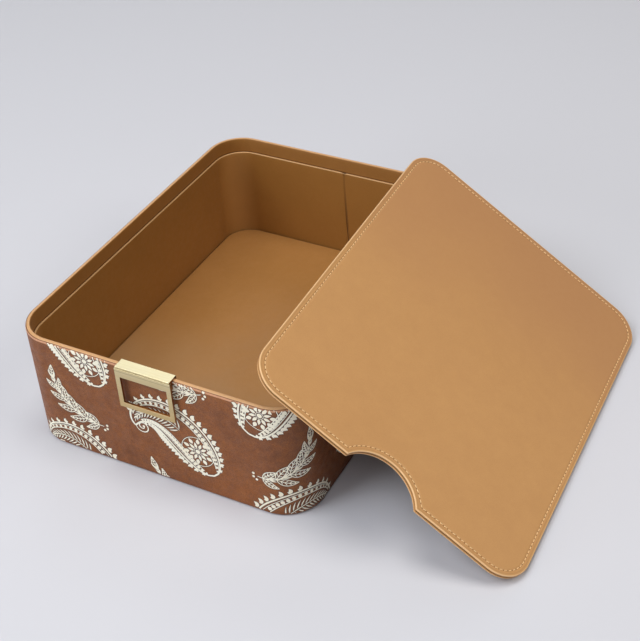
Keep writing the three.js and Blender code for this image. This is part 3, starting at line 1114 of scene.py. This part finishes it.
class Ink(Skin):
    """The thin closed strips of ink that lie on the wrap."""

    def __init__(self, base, spread=0.0):
        super().__init__()
        self.base, self.spread = base, spread / mm
        self.lift = 0.0

    def lay(self, line, way, height, lean, size, mirrored):
        """One pen line, moved, turned and sized, cut off at the wrap's edges."""
        self.lift = self.lift % ink_layers + ink_layer
        cos, sin = math.cos(lean), math.sin(lean)
        run = []
        for (x, y, half), (along_x, along_y) in zip(line, headings_of(line)):
            row = []
            for reach in (-half - self.spread, half + self.spread):
                px = (x - reach * along_y) * (-size if mirrored else size)
                py = (y + reach * along_x) * size
                row.append(Vector((
                    way + (px * cos - py * sin) * mm,
                    height + (px * sin + py * cos) * mm,
                )))
            if all(0 < place.y < ink_top_way for place in row):
                run.append(row)
                continue
            self.strip(run)
            run = []
        self.strip(run)

    def strip(self, run):
        """A closed strip: an upper face, a lower face and the sides between them."""
        if len(run) < 2:
            return
        columns = 4 if any(math.dist(*row) >= broad_stroke for row in run) else 2
        upper = self.base + self.lift
        rows, coordinates = [], []
        for left, right in run:
            places = [left.lerp(right, n / (columns - 1)) for n in range(columns)]
            ring = [(place, upper) for place in places]
            ring += [(place, upper - ink_thickness) for place in places[::-1]]
            rows.append([on_wrap(station_at(v.x % box_way), v.y, lift) for v, lift in ring])
            coordinates += [tuple(place) for place, _ in ring]
        self.add(rows, coordinates)


def headings_of(line):
    """The unit heading at each place of a pen line."""
    headings = []
    for number in range(len(line)):
        before, after = line[max(0, number - 1)], line[min(len(line) - 1, number + 1)]
        dx, dy = after[0] - before[0], after[1] - before[1]
        length = math.hypot(dx, dy) or 1.0
        headings.append((dx / length, dy / length))
    return headings


print_columns = 12
column_pitch = box_way / print_columns
first_column = 20 * mm
mirrored_columns = (1, 2)  # of every four
# The heights of a plain and of a raised column, four leans in degrees, and the size
drop_setting = (drop_pen, ((49,), (-9, 107)), (-32, 24, 30, -26), 1.0)
sprig_setting = (sprig_pen, ((-7, 106), (49,)), (-74, 62, 82, -66), 0.9)


def make_print(name, pen, heights, leans, size, ink):
    """One ornament in columns round the wall, by turns at its lower and its raised heights."""
    lines = pen.centred(ink_step / mm)
    for column in range(print_columns):
        way = first_column + column * column_pitch
        lean = math.radians(leans[column % 4])
        for height in heights[column % 2]:
            for line in lines:
                ink.lay(line, way, height * mm, lean, size, column % 4 in mirrored_columns)
    piece = ink.piece(name, 50)
    hand_over(piece, "box")
    return piece


outlines, creams = [], []
for motif, setting in (("drops", drop_setting), ("sprigs", sprig_setting)):
    outline_ink = Ink(outline_lift, outline_spread)
    outlines.append(make_print(f"wrap_print_{motif}_outline", *setting, outline_ink))
    creams.append(make_print(f"wrap_print_{motif}", *setting, Ink(ink_lift)))

# %% [markdown]
# ## Materials
#
# Each finish is one Principled shader fed by noise, by masks and by two node groups: one for the
# grain of leather, one for the way that dye drifts over a hide. Small helpers add the nodes. A
# value made by a node can be added and multiplied like a number, and a material is then a ground
# colour with coats of paint laid over it, each with its mask, its strength and its tint.

# %% Small helpers for nodes
def rgb(red, green, blue):
    """A colour as it is seen, from 0 to 255, turned into the linear values that nodes use."""
    def linear(value):
        value /= 255
        return value / 12.92 if value <= 0.04045 else ((value + 0.055) / 1.055) ** 2.4

    return (linear(red), linear(green), linear(blue), 1.0)


class Value:
    """What a node gives. Sums and products of values become Math nodes."""

    def __init__(self, recipe, socket):
        self.recipe, self.socket = recipe, socket

    def __add__(self, other):
        return self.recipe.math("ADD", self, other)

    def __sub__(self, other):
        return self.recipe.math("SUBTRACT", self, other)

    def __rsub__(self, other):
        return self.recipe.math("SUBTRACT", other, self)

    def __mul__(self, other):
        return self.recipe.math("MULTIPLY", self, other)

    def __abs__(self):
        return self.recipe.math("ABSOLUTE", self)

    def ramp(self, low, high, to_low=0.0, to_high=1.0):
        made = self.recipe.node("ShaderNodeMapRange", {"interpolation_type": "SMOOTHSTEP"}, **{
            "Value": self, "From Min": low, "From Max": high, "To Min": to_low, "To Max": to_high,
        })
        return Value(self.recipe, made.outputs["Result"])

    def fall(self, low, high):
        """1 up to low and 0 from high on."""
        return self.ramp(low, high, 1.0, 0.0)

    def band(self, start, end, fade):
        """1 between start and end, and soft at both."""
        return self.ramp(start - fade, start) * self.fall(end, end + fade)


class Recipe:
    """Adds nodes to a tree."""

    def __init__(self, tree):
        self.tree = tree

    def node(self, kind, settings=None, **inputs):
        made = self.tree.nodes.new(kind)
        for name, value in (settings or {}).items():
            setattr(made, name, value)
        self.feed(made, **inputs)
        return made

    def feed(self, node, **inputs):
        """Links values to a node's inputs, or sets them. A name's underlines stand for spaces."""
        for name, value in inputs.items():
            self.join(node.inputs[name.replace("_", " ")], value)

    def join(self, socket, value):
        if isinstance(value, Value):
            self.tree.links.new(value.socket, socket)
        else:
            socket.default_value = value

    def math(self, operation, *values):
        made = self.node("ShaderNodeMath", {"operation": operation})
        for socket, value in zip(made.inputs, values):
            self.join(socket, value)
        return Value(self, made.outputs[0])

    def mix(self, factor, first, second, blend="MIX"):
        made = self.node("ShaderNodeMix", {"data_type": "RGBA", "blend_type": blend})
        colours = [socket for socket in made.inputs if socket.type == "RGBA"]
        for socket, value in zip((made.inputs["Factor"], *colours), (factor, first, second)):
            self.join(socket, value)
        return Value(self, next(socket for socket in made.outputs if socket.type == "RGBA"))

    def paint(self, colour, *coats):
        """Lays coats over a colour. Each is a mask, its strength and its tint."""
        for mask, strength, tint in coats:
            colour = self.mix(mask * strength, colour, tint)
        return colour

    def place(self, kind="Object"):
        return Value(self, self.node("ShaderNodeTexCoord").outputs[kind])

    def axis(self, kind, letter):
        """One of X, Y and Z of a place or of a normal."""
        split = self.node("ShaderNodeSeparateXYZ", Vector=self.place(kind))
        return Value(self, split.outputs[letter])

    def noise(self, scale, detail=3.0, roughness=0.5, vector=None):
        made = self.node("ShaderNodeTexNoise", Vector=vector or self.place(), Scale=scale,
                         Detail=detail, Roughness=roughness)
        return Value(self, made.outputs["Fac"])

    def along_across(self):
        """The two texture coordinates of a piece, in metres."""
        layer = self.node("ShaderNodeUVMap", {"uv_map": "along_across"})
        split = self.node("ShaderNodeSeparateXYZ", Vector=Value(self, layer.outputs[0]))
        return [Value(self, split.outputs[letter]) for letter in "XY"]

    def group(self, name, **inputs):
        """A copy of a node group, as a table of what it gives."""
        made = self.node("ShaderNodeGroup", {"node_tree": bpy.data.node_groups[name]}, **inputs)
        return {socket.name: Value(self, socket) for socket in made.outputs}


class Group(Recipe):
    """A new node group with named inputs and outputs."""

    def __init__(self, name, inputs, outputs):
        super().__init__(bpy.data.node_groups.new(name, "ShaderNodeTree"))
        for socket, (kind, value) in inputs.items():
            made = self.tree.interface.new_socket(socket, in_out="INPUT", socket_type=kind)
            made.default_value = value
        for socket, kind in outputs.items():
            self.tree.interface.new_socket(socket, in_out="OUTPUT", socket_type=kind)
        given = self.node("NodeGroupInput")
        self.given = {socket.name: Value(self, socket) for socket in given.outputs}
        self.result = self.node("NodeGroupOutput")


class Finish(Recipe):
    """A new material with one Principled shader."""

    def __init__(self, name):
        self.material = bpy.data.materials.new(name)
        self.material.use_nodes = True
        super().__init__(self.material.node_tree)
        self.tree.nodes.clear()
        self.shader = self.node("ShaderNodeBsdfPrincipled")
        surface = Value(self, self.shader.outputs["BSDF"])
        self.node("ShaderNodeOutputMaterial", Surface=surface)

    def shade(self, **inputs):
        self.feed(self.shader, **inputs)

    def bump(self, height, strength, distance):
        made = self.node("ShaderNodeBump", Height=height, Strength=strength, Distance=distance)
        self.shade(Normal=Value(self, made.outputs["Normal"]))

    def put_on(self, *pieces):
        for piece in pieces:
            piece.data.materials.clear()
            piece.data.materials.append(self.material)
        print(self.material.name, "on", len(pieces), "pieces")


# %% [markdown]
# Leather grain is a mosaic of tiny flat pebbles with fine valleys between them. Voronoi cells
# measured by the distance to their edge give the pebbles, a second and smaller set breaks them up,
# and noise keeps any two places from being alike.

# %% Group: leather grain
pebble_push = 1.2 * mm
number, colour_socket = "NodeSocketFloat", "NodeSocketColor"

grain = Group(
    "leather grain",
    {"Pebbles per Metre": (number, 900.0), "Softness": (number, 0.5)},
    {"Height": number, "Valley": number},
)
per_metre = grain.given["Pebbles per Metre"]
bent = grain.node("ShaderNodeTexNoise", Vector=grain.place(), Scale=300.0, Detail=2.0)
pushed = grain.node("ShaderNodeVectorMath", {"operation": "MULTIPLY_ADD"})
pushes = (Value(grain, bent.outputs["Color"]), (pebble_push,) * 3, grain.place())
for socket, value in zip(pushed.inputs, pushes):
    grain.join(socket, value)
pebbles = []
for share in (1.0, 2.3):
    cells = grain.node("ShaderNodeTexVoronoi", {"feature": "DISTANCE_TO_EDGE"},
                       Vector=Value(grain, pushed.outputs[0]), Scale=per_metre * share)
    pebbles.append(Value(grain, cells.outputs["Distance"]).ramp(0.0, 0.28))
rough = pebbles[0] + pebbles[1] * 0.4 + grain.noise(per_metre * 4.0, 3.0, 0.6) * 0.5
grain.feed(grain.result, Height=rough * (1 - grain.given["Softness"]), Valley=1 - pebbles[0])
print("group: leather grain")

# %% [markdown]
# A hide takes dye unevenly. Broad clouds and finer mottling, each from noise, tell a material
# where to lean towards its darker or its lighter tone.

# %% Group: drift of the dye
drift = Group(
    "dye drift",
    {
        "Darker": (colour_socket, (0.2, 0.1, 0.05, 1)),
        "Lighter": (colour_socket, (0.6, 0.4, 0.2, 1)),
        "Cloud Size": (number, 14.0),
        "Mottle Size": (number, 120.0),
        "Strength": (number, 0.5),
    },
    {"Color": colour_socket},
)
cloud = drift.noise(drift.given["Cloud Size"], 3.0, 0.55)
mottle = drift.noise(drift.given["Mottle Size"], 4.0, 0.65)
lean = (mottle * 0.55 + cloud * 0.45 - 0.5) * (drift.given["Strength"] * 3.0) + 0.5
clamped = drift.node("ShaderNodeClamp", Value=lean)
dyed = drift.mix(Value(drift, clamped.outputs[0]), drift.given["Darker"], drift.given["Lighter"])
drift.feed(drift.result, Color=dyed)
print("group: dye drift")

# %% [markdown]
# ## Tan leather
#
# The rim, the inside and the lid are one smooth, finely grained tan leather with a soft sheen.
# Inside the box it is painted a little darker, as painted shade. Each piece has marks of its own:
# painted shade in the needle holes between the lid's stitches, a burnished line in its crease,
# painted highlights on edges, folds and corners, painted shade along the ledge, round the floor
# and in the seam, dark joints and cut ends. Those are drawn from the texture coordinates, which
# are metres along the seam and metres in from the edge.

# %% Tan leather
tan_dark = rgb(199, 147, 91)
tan_light = rgb(217, 165, 105)
pale_highlight = rgb(255, 214, 160)
deep_brown = rgb(92, 50, 18)
tan_grain_depth = 0.09 * mm


def make_tan_leather(name, darker, lighter, marks):
    """Marks draws wear, pressed lines and painted light and shade on colour and roughness."""
    finish = Finish(name)
    grain = finish.group("leather grain", Pebbles_per_Metre=1500.0, Softness=0.35)
    dye = finish.group("dye drift", Darker=darker, Lighter=lighter, Cloud_Size=9.0,
                       Mottle_Size=60.0, Strength=0.35)
    colour = finish.mix(grain["Valley"] * 0.12, dye["Color"], darker, "MULTIPLY")
    colour, highlight_and_polish = marks(finish, colour, *finish.along_across())
    rough = finish.noise(220.0).ramp(0.3, 0.7, 0.47, 0.58)
    finish.shade(Base_Color=colour, Roughness=rough - highlight_and_polish * 0.2, Specular_IOR_Level=0.42,
                 Sheen_Weight=0.06, Sheen_Roughness=0.4)
    finish.bump(grain["Height"], 0.22, tan_grain_depth)
    return finish


# %% Marks of the lid
hole_length = 0.75 * mm
hole_width = 0.6 * mm
# A mark lies from and to a distance past its line, and fades over a third distance at each side
groove_mark = (-0.6 * mm, 0.6 * mm, 0.5 * mm)
crease_mark = (-0.1 * mm, 0.1 * mm, 0.4 * mm)
edge_highlight_mark = (-0.9 * mm, 0.1 * mm, 0.3 * mm)
# A change goes on between two distances
edge_shade_change = (0.2 * mm, 0.8 * mm)
lining_change = (6 * mm, 6.6 * mm)
ruddy_change = (60 * mm, 260 * mm)
ruddy_drift = 200 * mm


def lid_marks(finish, colour, along, across):
    """Ruddier back part, painted shade in needle holes, crease, painted edge highlight and shade."""
    past_stitches = across - way_on_lid(stitch_inset)
    past_edge = across - way_on_lid(lid_rounding)
    past_hole = finish.math("FRACT", along * (1 / true_pitch) + 0.5) - 0.5
    from_hole = past_hole * (true_pitch / hole_length)
    beside_hole = past_stitches * (1 / hole_width)
    # Painted shade in the needle holes between the stitches.
    hole = (from_hole * from_hole + beside_hole * beside_hole).fall(0.25, 1.0)
    in_groove = past_stitches.band(*groove_mark)
    in_crease = (across - way_on_lid(crease_inset)).band(*crease_mark)
    # Painted highlight on the edges that face the front left, painted shade on those that face away.
    away = (finish.axis("Normal", "X") + finish.axis("Normal", "Y")).ramp(0.15, 0.75)
    painted_edge_highlight = past_edge.band(*edge_highlight_mark) * (1 - away)
    painted_edge_shade = past_edge.fall(*edge_shade_change) * away
    ruddy = (finish.noise(9.0) * ruddy_drift + finish.axis("Object", "Y")).ramp(*ruddy_change)
    colour = finish.paint(
        colour,
        (ruddy, 0.8, rgb(190, 137, 90)),
        (in_groove, 0.4, tan_dark),
        (in_crease, 0.12, deep_brown),
        (hole, 0.6, rgb(122, 78, 36)),
        (painted_edge_shade, 0.75, deep_brown),
        (painted_edge_highlight, 0.62, pale_highlight),
    )
    return colour, painted_edge_highlight


def lid_lining_marks(finish, colour, along, across):
    """The lower leather is marked like the upper one, and dark suede covers its middle."""
    colour, painted_edge_highlight = lid_marks(finish, colour, along, across)
    lined = (across - way_on_lid(0)).ramp(*lining_change)
    return finish.mix(lined, colour, rgb(112, 76, 48)), painted_edge_highlight


# %% Marks of the rim, the inner wall and the floor
rim_top_way = rim_rounding * quarter_turn + wall_thickness - rim_outer - 2 * rim_rounding
ledge_way = rim_top_way + rim_rounding * quarter_turn
ledge_way += box_height - rim_crown - rim_rounding - ledge_height
fold_way = liner_rounding * math.pi + liner_face - liner_outer - 2 * liner_rounding
first_bend = half_x + corner_way / 2
bend_ways = [
    first_bend, box_way / 2 - first_bend, box_way / 2 + first_bend, box_way - first_bend,
]
corner_highlight_mark = (-2 * mm, 2 * mm, corner_way / 2)
rim_top_fade = 0.6 * mm
rim_joint_change = (0.15 * mm, 0.4 * mm)
ledge_mark = (-0.5 * mm, 2 * mm, 0.5 * mm)
fold_mark = (0.3 * mm, fold_way, 0.3 * mm)
first_end_change = (0.5 * mm, 1.2 * mm)
last_end_change = (-0.9 * mm, -0.3 * mm)
grey_change = (-100 * mm, 120 * mm)
grey_drift = 160 * mm
floor_edge_change = (1.0 * mm, 1.9 * mm)


def rim_marks(finish, colour, along, across):
    """The rim's top keeps the lid's tone. Dark joint at the wrap, painted shade along the ledge."""
    over_rim = across.band(0.0, rim_top_way, rim_top_fade)
    colour = finish.paint(
        colour,
        (over_rim, 1.0, rgb(212, 163, 112)),
        (across.fall(*rim_joint_change), 0.8, deep_brown),
        # Painted shade along the ledge, where the inner wall's top meets the lining.
        ((across - ledge_way).band(*ledge_mark), 0.6, deep_brown),
    )
    return colour, over_rim


def wall_marks(finish, colour, along, across):
    """Painted highlights in the corners and on the fold. Cut ends dark, with painted seam shade."""
    # Painted highlight down the four inner corners.
    painted_corner_highlight = 0.0
    for bend_way in bend_ways:
        painted_corner_highlight = (along - bend_way).band(*corner_highlight_mark) + painted_corner_highlight
    # Painted highlight on the fold along the ledge.
    fold = across.band(*fold_mark)
    # Dark cut ends at the seam, with painted shade in the seam that is deeper towards the floor.
    ends = along.fall(*first_end_change) + (along - box_way).ramp(*last_end_change)
    low_down = finish.axis("Object", "Z").ramp(floor_height, ledge_height, 1.0, 0.2)
    colour = finish.paint(
        colour,
        (painted_corner_highlight, 0.3, rgb(226, 172, 106)),
        (fold, 0.38, pale_highlight),
        (ends, low_down, rgb(62, 30, 10)),
    )
    return colour, fold


def floor_marks(finish, colour, along, across):
    """Greyer towards the front, and painted shade darkens the turned edge all round."""
    drifted = finish.noise(11.0) * grey_drift + finish.axis("Object", "Y")
    colour = finish.paint(
        colour,
        (drifted.fall(*grey_change), 1.0, rgb(170, 133, 92)),
        # Painted shade on the turned edge, in the groove by the wall.
        (across.fall(*floor_edge_change), 0.75, deep_brown),
    )
    return colour, 0.0


# The inner tones of the rim, the wall and the floor are darker than the lid's, as painted shade.
for name, darker, lighter, marks, piece in (
    ("tan lid leather", tan_dark, tan_light, lid_marks, lid_top),
    ("lid lining", tan_dark, tan_light, lid_lining_marks, lid_bottom),
    ("rim leather", rgb(150, 102, 46), rgb(168, 117, 56), rim_marks, rim_lining),
    ("wall leather", rgb(150, 102, 42), rgb(170, 118, 54), wall_marks, liner_leather),
    ("floor leather", rgb(164, 114, 56), rgb(184, 131, 70), floor_marks, floor_leather),
):
    make_tan_leather(name, darker, lighter, marks).put_on(piece)

# %% [markdown]
# ## Brown printed leather and its ink
#
# The wrap is a warm, cloudy brown leather, speckled, with darker valleys between its pebbles, and a
# painted highlight along its rolled upper edge. Its print is a matt cream ink that shares the
# leather's bump and is worn thin in places, so that the brown shows through. Under it lies a dark
# line of painted shade round the print.

# %% Brown leather and the two inks
brown_dark = rgb(114, 62, 20)
brown_light = rgb(171, 101, 33)
wrap_end_way = wrap_face_height + roll_way
roll_highlight_mark = (wrap_face_height + 0.3 * mm, wrap_end_way - 0.6 * mm, 0.3 * mm)
wrap_joint_change = (wrap_end_way - 0.3 * mm, wrap_end_way)
wrap_grain_depth = 0.14 * mm
ink_grain_depth = 0.1 * mm


def wrap_finish(name, strength, distance):
    """A finish that has the bump of the wrap's grain."""
    finish = Finish(name)
    grain = finish.group("leather grain", Pebbles_per_Metre=1100.0, Softness=0.2)
    finish.bump(grain["Height"], strength, distance)
    return finish, grain["Valley"]


def make_brown_leather():
    finish, valley = wrap_finish("brown leather", 0.5, wrap_grain_depth)
    dye = finish.group("dye drift", Darker=brown_dark, Lighter=brown_light, Cloud_Size=16.0,
                       Mottle_Size=150.0, Strength=0.75)
    across = finish.along_across()[1]
    speckle = finish.noise(900.0, 3.0, 0.7).ramp(0.46, 0.62)
    highlight_and_polish, joint = across.band(*roll_highlight_mark), across.ramp(*wrap_joint_change)
    colour = finish.paint(dye["Color"], (speckle, 0.42, brown_dark))
    colour = finish.mix(valley * 0.6, colour, rgb(190, 160, 145), "MULTIPLY")
    # Painted highlight along the rolled upper edge, then the dark joint at its end.
    colour = finish.paint(colour, (highlight_and_polish, 0.62, rgb(236, 176, 134)), (joint, 0.9, deep_brown))
    rough = finish.noise(160.0, 4.0).ramp(0.3, 0.7, 0.42, 0.58)
    finish.shade(Base_Color=colour, Roughness=rough - highlight_and_polish * 0.22, Specular_IOR_Level=0.5)
    return finish


def make_cream_ink():
    finish, valley = wrap_finish("cream ink", 0.3, ink_grain_depth)
    tone = finish.mix(finish.noise(70.0), rgb(250, 240, 214), rgb(255, 253, 236))
    worn = finish.noise(420.0, 4.0, 0.7).ramp(0.66, 0.8, 0.0, 0.45)
    colour = finish.paint(tone, (worn, 1.0, brown_light), (valley, 0.08, brown_light))
    finish.shade(Base_Color=colour, Roughness=worn.ramp(0.0, 1.0, 0.62, 0.5),
                 Specular_IOR_Level=0.35)
    return finish


# Painted shade round the print: dark ink laid a little broader under the cream.
def make_outline_ink():
    finish, valley = wrap_finish("painted print shade", 0.3, ink_grain_depth)
    colour = finish.mix(finish.noise(90.0), rgb(58, 30, 12), rgb(82, 46, 22))
    finish.shade(Base_Color=colour, Roughness=valley.ramp(0.0, 1.0, 0.6, 0.75))
    return finish


make_brown_leather().put_on(wrap)
make_cream_ink().put_on(*creams)
make_outline_ink().put_on(*outlines)

# %% [markdown]
# ## Brass, thread and board
#
# The clasp is pale brass, brushed along its width: noise stretched along the brush's way gives
# thin streaks that change its tone, its roughness and its bump. Its side faces and the level faces
# below the plate carry a painted dark brown reflection, its front is painted browner towards its
# foot as painted shade, and two thin dark lines run near the frame's top. The thread is waxed
# cotton. The stiffener's edge is painted dark, as bag makers do, and the hidden boards keep a plain
# fibre finish.

# %% Brushed brass
brush_scale = (30.0, 900.0, 900.0)
brush_depth = 0.04 * mm
# Heights past the frame's top, as for the marks above
under_plate_change = (-1.6 * mm, -1.1 * mm)
plate_joint_mark = (-0.3 * mm, 0.1 * mm, 0.15 * mm)
fine_line_mark = (-2.4 * mm, -2.2 * mm, 0.2 * mm)


def make_brass():
    finish = Finish("brushed brass")
    stretch = finish.node("ShaderNodeMapping", Vector=finish.place(), Scale=brush_scale)
    lines = finish.noise(1.0, 4.0, 0.6, Value(finish, stretch.outputs["Vector"]))
    height = finish.axis("Object", "Z")
    past_top = height - frame_high.z
    sideways = abs(finish.axis("Normal", "X")).ramp(0.5, 0.9)
    level = abs(finish.axis("Normal", "Z")).ramp(0.5, 0.9)
    front = finish.axis("Normal", "Y").fall(-0.9, -0.6)
    # Painted dark brown reflection on the side faces and on the level faces below the plate.
    cut = finish.math("MAXIMUM", sideways, level * past_top.fall(*under_plate_change))
    # Two thin dark lines near the frame's top: at its joint with the plate and just below it.
    top_dark_lines = past_top.band(*plate_joint_mark) * 0.3 + past_top.band(*fine_line_mark) * 0.4
    colour = finish.paint(
        finish.mix(lines, rgb(204, 190, 142), rgb(230, 222, 190)),
        (finish.noise(60.0, 2.0), 0.25, rgb(208, 182, 118)),
        # Painted shade: the front faces grow browner towards the frame's foot.
        (front, height.ramp(frame_low.z, frame_high.z, 0.55, 0.2), rgb(198, 158, 92)),
        (cut, 0.95, rgb(146, 84, 24)),
        (top_dark_lines, 1.0, rgb(98, 80, 36)),
    )
    finish.shade(Base_Color=colour, Metallic=1.0, Roughness=lines.ramp(0.2, 0.8, 0.27, 0.33))
    finish.bump(lines, 0.1, brush_depth)
    return finish


screws = [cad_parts[node] for node in ("clasp_screw_left", "clasp_screw_right")]
make_brass().put_on(clasp_saddle, clasp_frame, *screws)

# %% Thread, board, edge paint and the suede underneath
thread_fibre_depth = 0.05 * mm
board_fibre_depth = 0.1 * mm


def make_thread():
    finish = Finish("waxed thread")
    fibres = finish.noise(2600.0, 3.0, 0.6)
    colour = finish.mix(fibres.ramp(0.3, 0.7), rgb(250, 206, 140), rgb(255, 234, 184))
    finish.shade(Base_Color=colour, Roughness=fibres.ramp(0.2, 0.8, 0.5, 0.75))
    finish.bump(fibres, 0.4, thread_fibre_depth)
    return finish


def make_fibre_finish(name, darker, lighter, roughness):
    finish = Finish(name)
    dye = finish.group("dye drift", Darker=darker, Lighter=lighter, Cloud_Size=30.0,
                       Mottle_Size=900.0, Strength=0.9)
    fibres = finish.noise(2500.0, 4.0, 0.7)
    rough = fibres.ramp(0.2, 0.8, roughness - 0.1, roughness + 0.05)
    finish.shade(Base_Color=dye["Color"], Roughness=rough, Specular_IOR_Level=0.15)
    finish.bump(fibres, 0.4, board_fibre_depth)
    return finish


boards = [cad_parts[node] for node in ("wall_core", "base_board", "liner_board", "floor_board")]
make_thread().put_on(upper_stitches, lower_stitches)
make_fibre_finish("fibreboard", rgb(64, 44, 28), rgb(92, 66, 44), 0.85).put_on(*boards)
suede = make_fibre_finish("suede", rgb(88, 58, 40), rgb(116, 80, 58), 0.92)
suede.put_on(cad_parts["base_cover"])
make_fibre_finish("edge paint", rgb(66, 36, 12), rgb(86, 50, 20), 0.6).put_on(lid_stiffener)

# %% [markdown]
# ## Table, light and camera
#
# The picture is a plain studio one: a pale grey table under seven soft round lamps. The strongest
# stands to the front left, others hang overhead, in front and to the right, and two weak ones stand
# behind. The room adds next to no light, but the camera sees it pale, and gloss mirrors a little
# of it. The camera looks down on the box from its right front corner, with the lens and the slight
# roll that the outlines of the box ask for.

# %% Table
table_half = 4.0


def make_table():
    mesh = bpy.data.meshes.new("table")
    signs = ((-1, -1), (1, -1), (1, 1), (-1, 1))
    mesh.from_pydata([(x * table_half, y * table_half, 0) for x, y in signs], [], [(0, 1, 2, 3)])
    table = bpy.data.objects.new("table", mesh)
    bpy.context.scene.collection.objects.link(table)
    finish = Finish("table")
    finish.shade(Base_Color=rgb(214, 214, 219), Roughness=0.7, Specular_IOR_Level=0.2)
    finish.put_on(table)


make_table()

# %% Lights
lamp_distance = 3.0
broad, narrow = 1.6, 1.0
aim = Vector((0.05, 0.0, 0.05))
warm_white = (1.03, 1.0, 0.96)
cool_white = (0.96, 0.995, 1.05)
room_colour = (0.96, 0.97, 1.0, 1.0)
room_glow, room_in_gloss, room_seen = 0.02, 0.08, 0.5


def add_lamp(name, turn_degrees, rise_degrees, power, size, colour):
    """A soft round lamp that faces the box. Turn 0 is at +X and 90 behind the box."""
    turn, rise = math.radians(turn_degrees), math.radians(rise_degrees)
    way = Vector((math.cos(rise) * math.cos(turn), math.cos(rise) * math.sin(turn),
                  math.sin(rise)))
    light = bpy.data.lights.new(name, "AREA")
    light.shape = "DISK"
    light.size = size
    light.energy = power
    light.color = colour
    lamp = bpy.data.objects.new(name, light)
    lamp.location = aim + way * lamp_distance
    lamp.rotation_euler = (-way).to_track_quat("-Z", "Y").to_euler()
    bpy.context.scene.collection.objects.link(lamp)


for lamp in (
    ("overhead", 0, 90, 30.0, broad, warm_white),
    ("front left", 226, 50, 38.0, broad, cool_white),
    ("low front", 240, 14, 25.0, broad, cool_white),
    ("front", 287, 50, 15.0, broad, cool_white),
    ("right", 8, 43, 24.0, broad, warm_white),
    ("behind", 90, 50, 4.0, broad, warm_white),
    ("behind left", 130, 39, 5.8, narrow, cool_white),
):
    add_lamp(*lamp)

world = bpy.data.worlds.new("studio")
bpy.context.scene.world = world
world.use_nodes = True
room = Recipe(world.node_tree)
rays = room.node("ShaderNodeLightPath").outputs
glow = Value(room, rays["Is Glossy Ray"]) * room_in_gloss + room_glow
seen = Value(room, rays["Is Camera Ray"]) * room_seen
room.feed(world.node_tree.nodes["Background"], Color=room_colour, Strength=seen + glow)
bpy.context.scene.view_settings.view_transform = "Standard"

# %% Camera
picture_side = 641
lens_in_pixels = 1329.93
sensor = 36.0
camera_place = Vector((484.96, -748.82, 717.37)) * mm
camera_turn = math.radians(29.84)
camera_dip = math.radians(37.542)
camera_roll = math.radians(-3.846)
nearest_seen, furthest_seen = 0.05, 20.0


def add_camera():
    ahead = Vector((
        -math.sin(camera_turn) * math.cos(camera_dip),
        math.cos(camera_turn) * math.cos(camera_dip),
        -math.sin(camera_dip),
    ))
    right = ahead.cross(Vector((0, 0, 1))).normalized()
    up = right.cross(ahead)
    rolled_right = right * math.cos(camera_roll) + up * math.sin(camera_roll)
    rolled_up = up * math.cos(camera_roll) - right * math.sin(camera_roll)
    turned = Matrix((rolled_right, rolled_up, -ahead)).transposed()
    settings = bpy.data.cameras.new("camera")
    settings.sensor_width = sensor
    settings.lens = lens_in_pixels * sensor / picture_side
    settings.clip_start = nearest_seen
    settings.clip_end = furthest_seen
    camera = bpy.data.objects.new("camera", settings)
    camera.matrix_world = Matrix.Translation(camera_place) @ turned.to_4x4()
    bpy.context.scene.collection.objects.link(camera)
    bpy.context.scene.camera = camera
    print("lens:", round(settings.lens, 2), "mm")


add_camera()
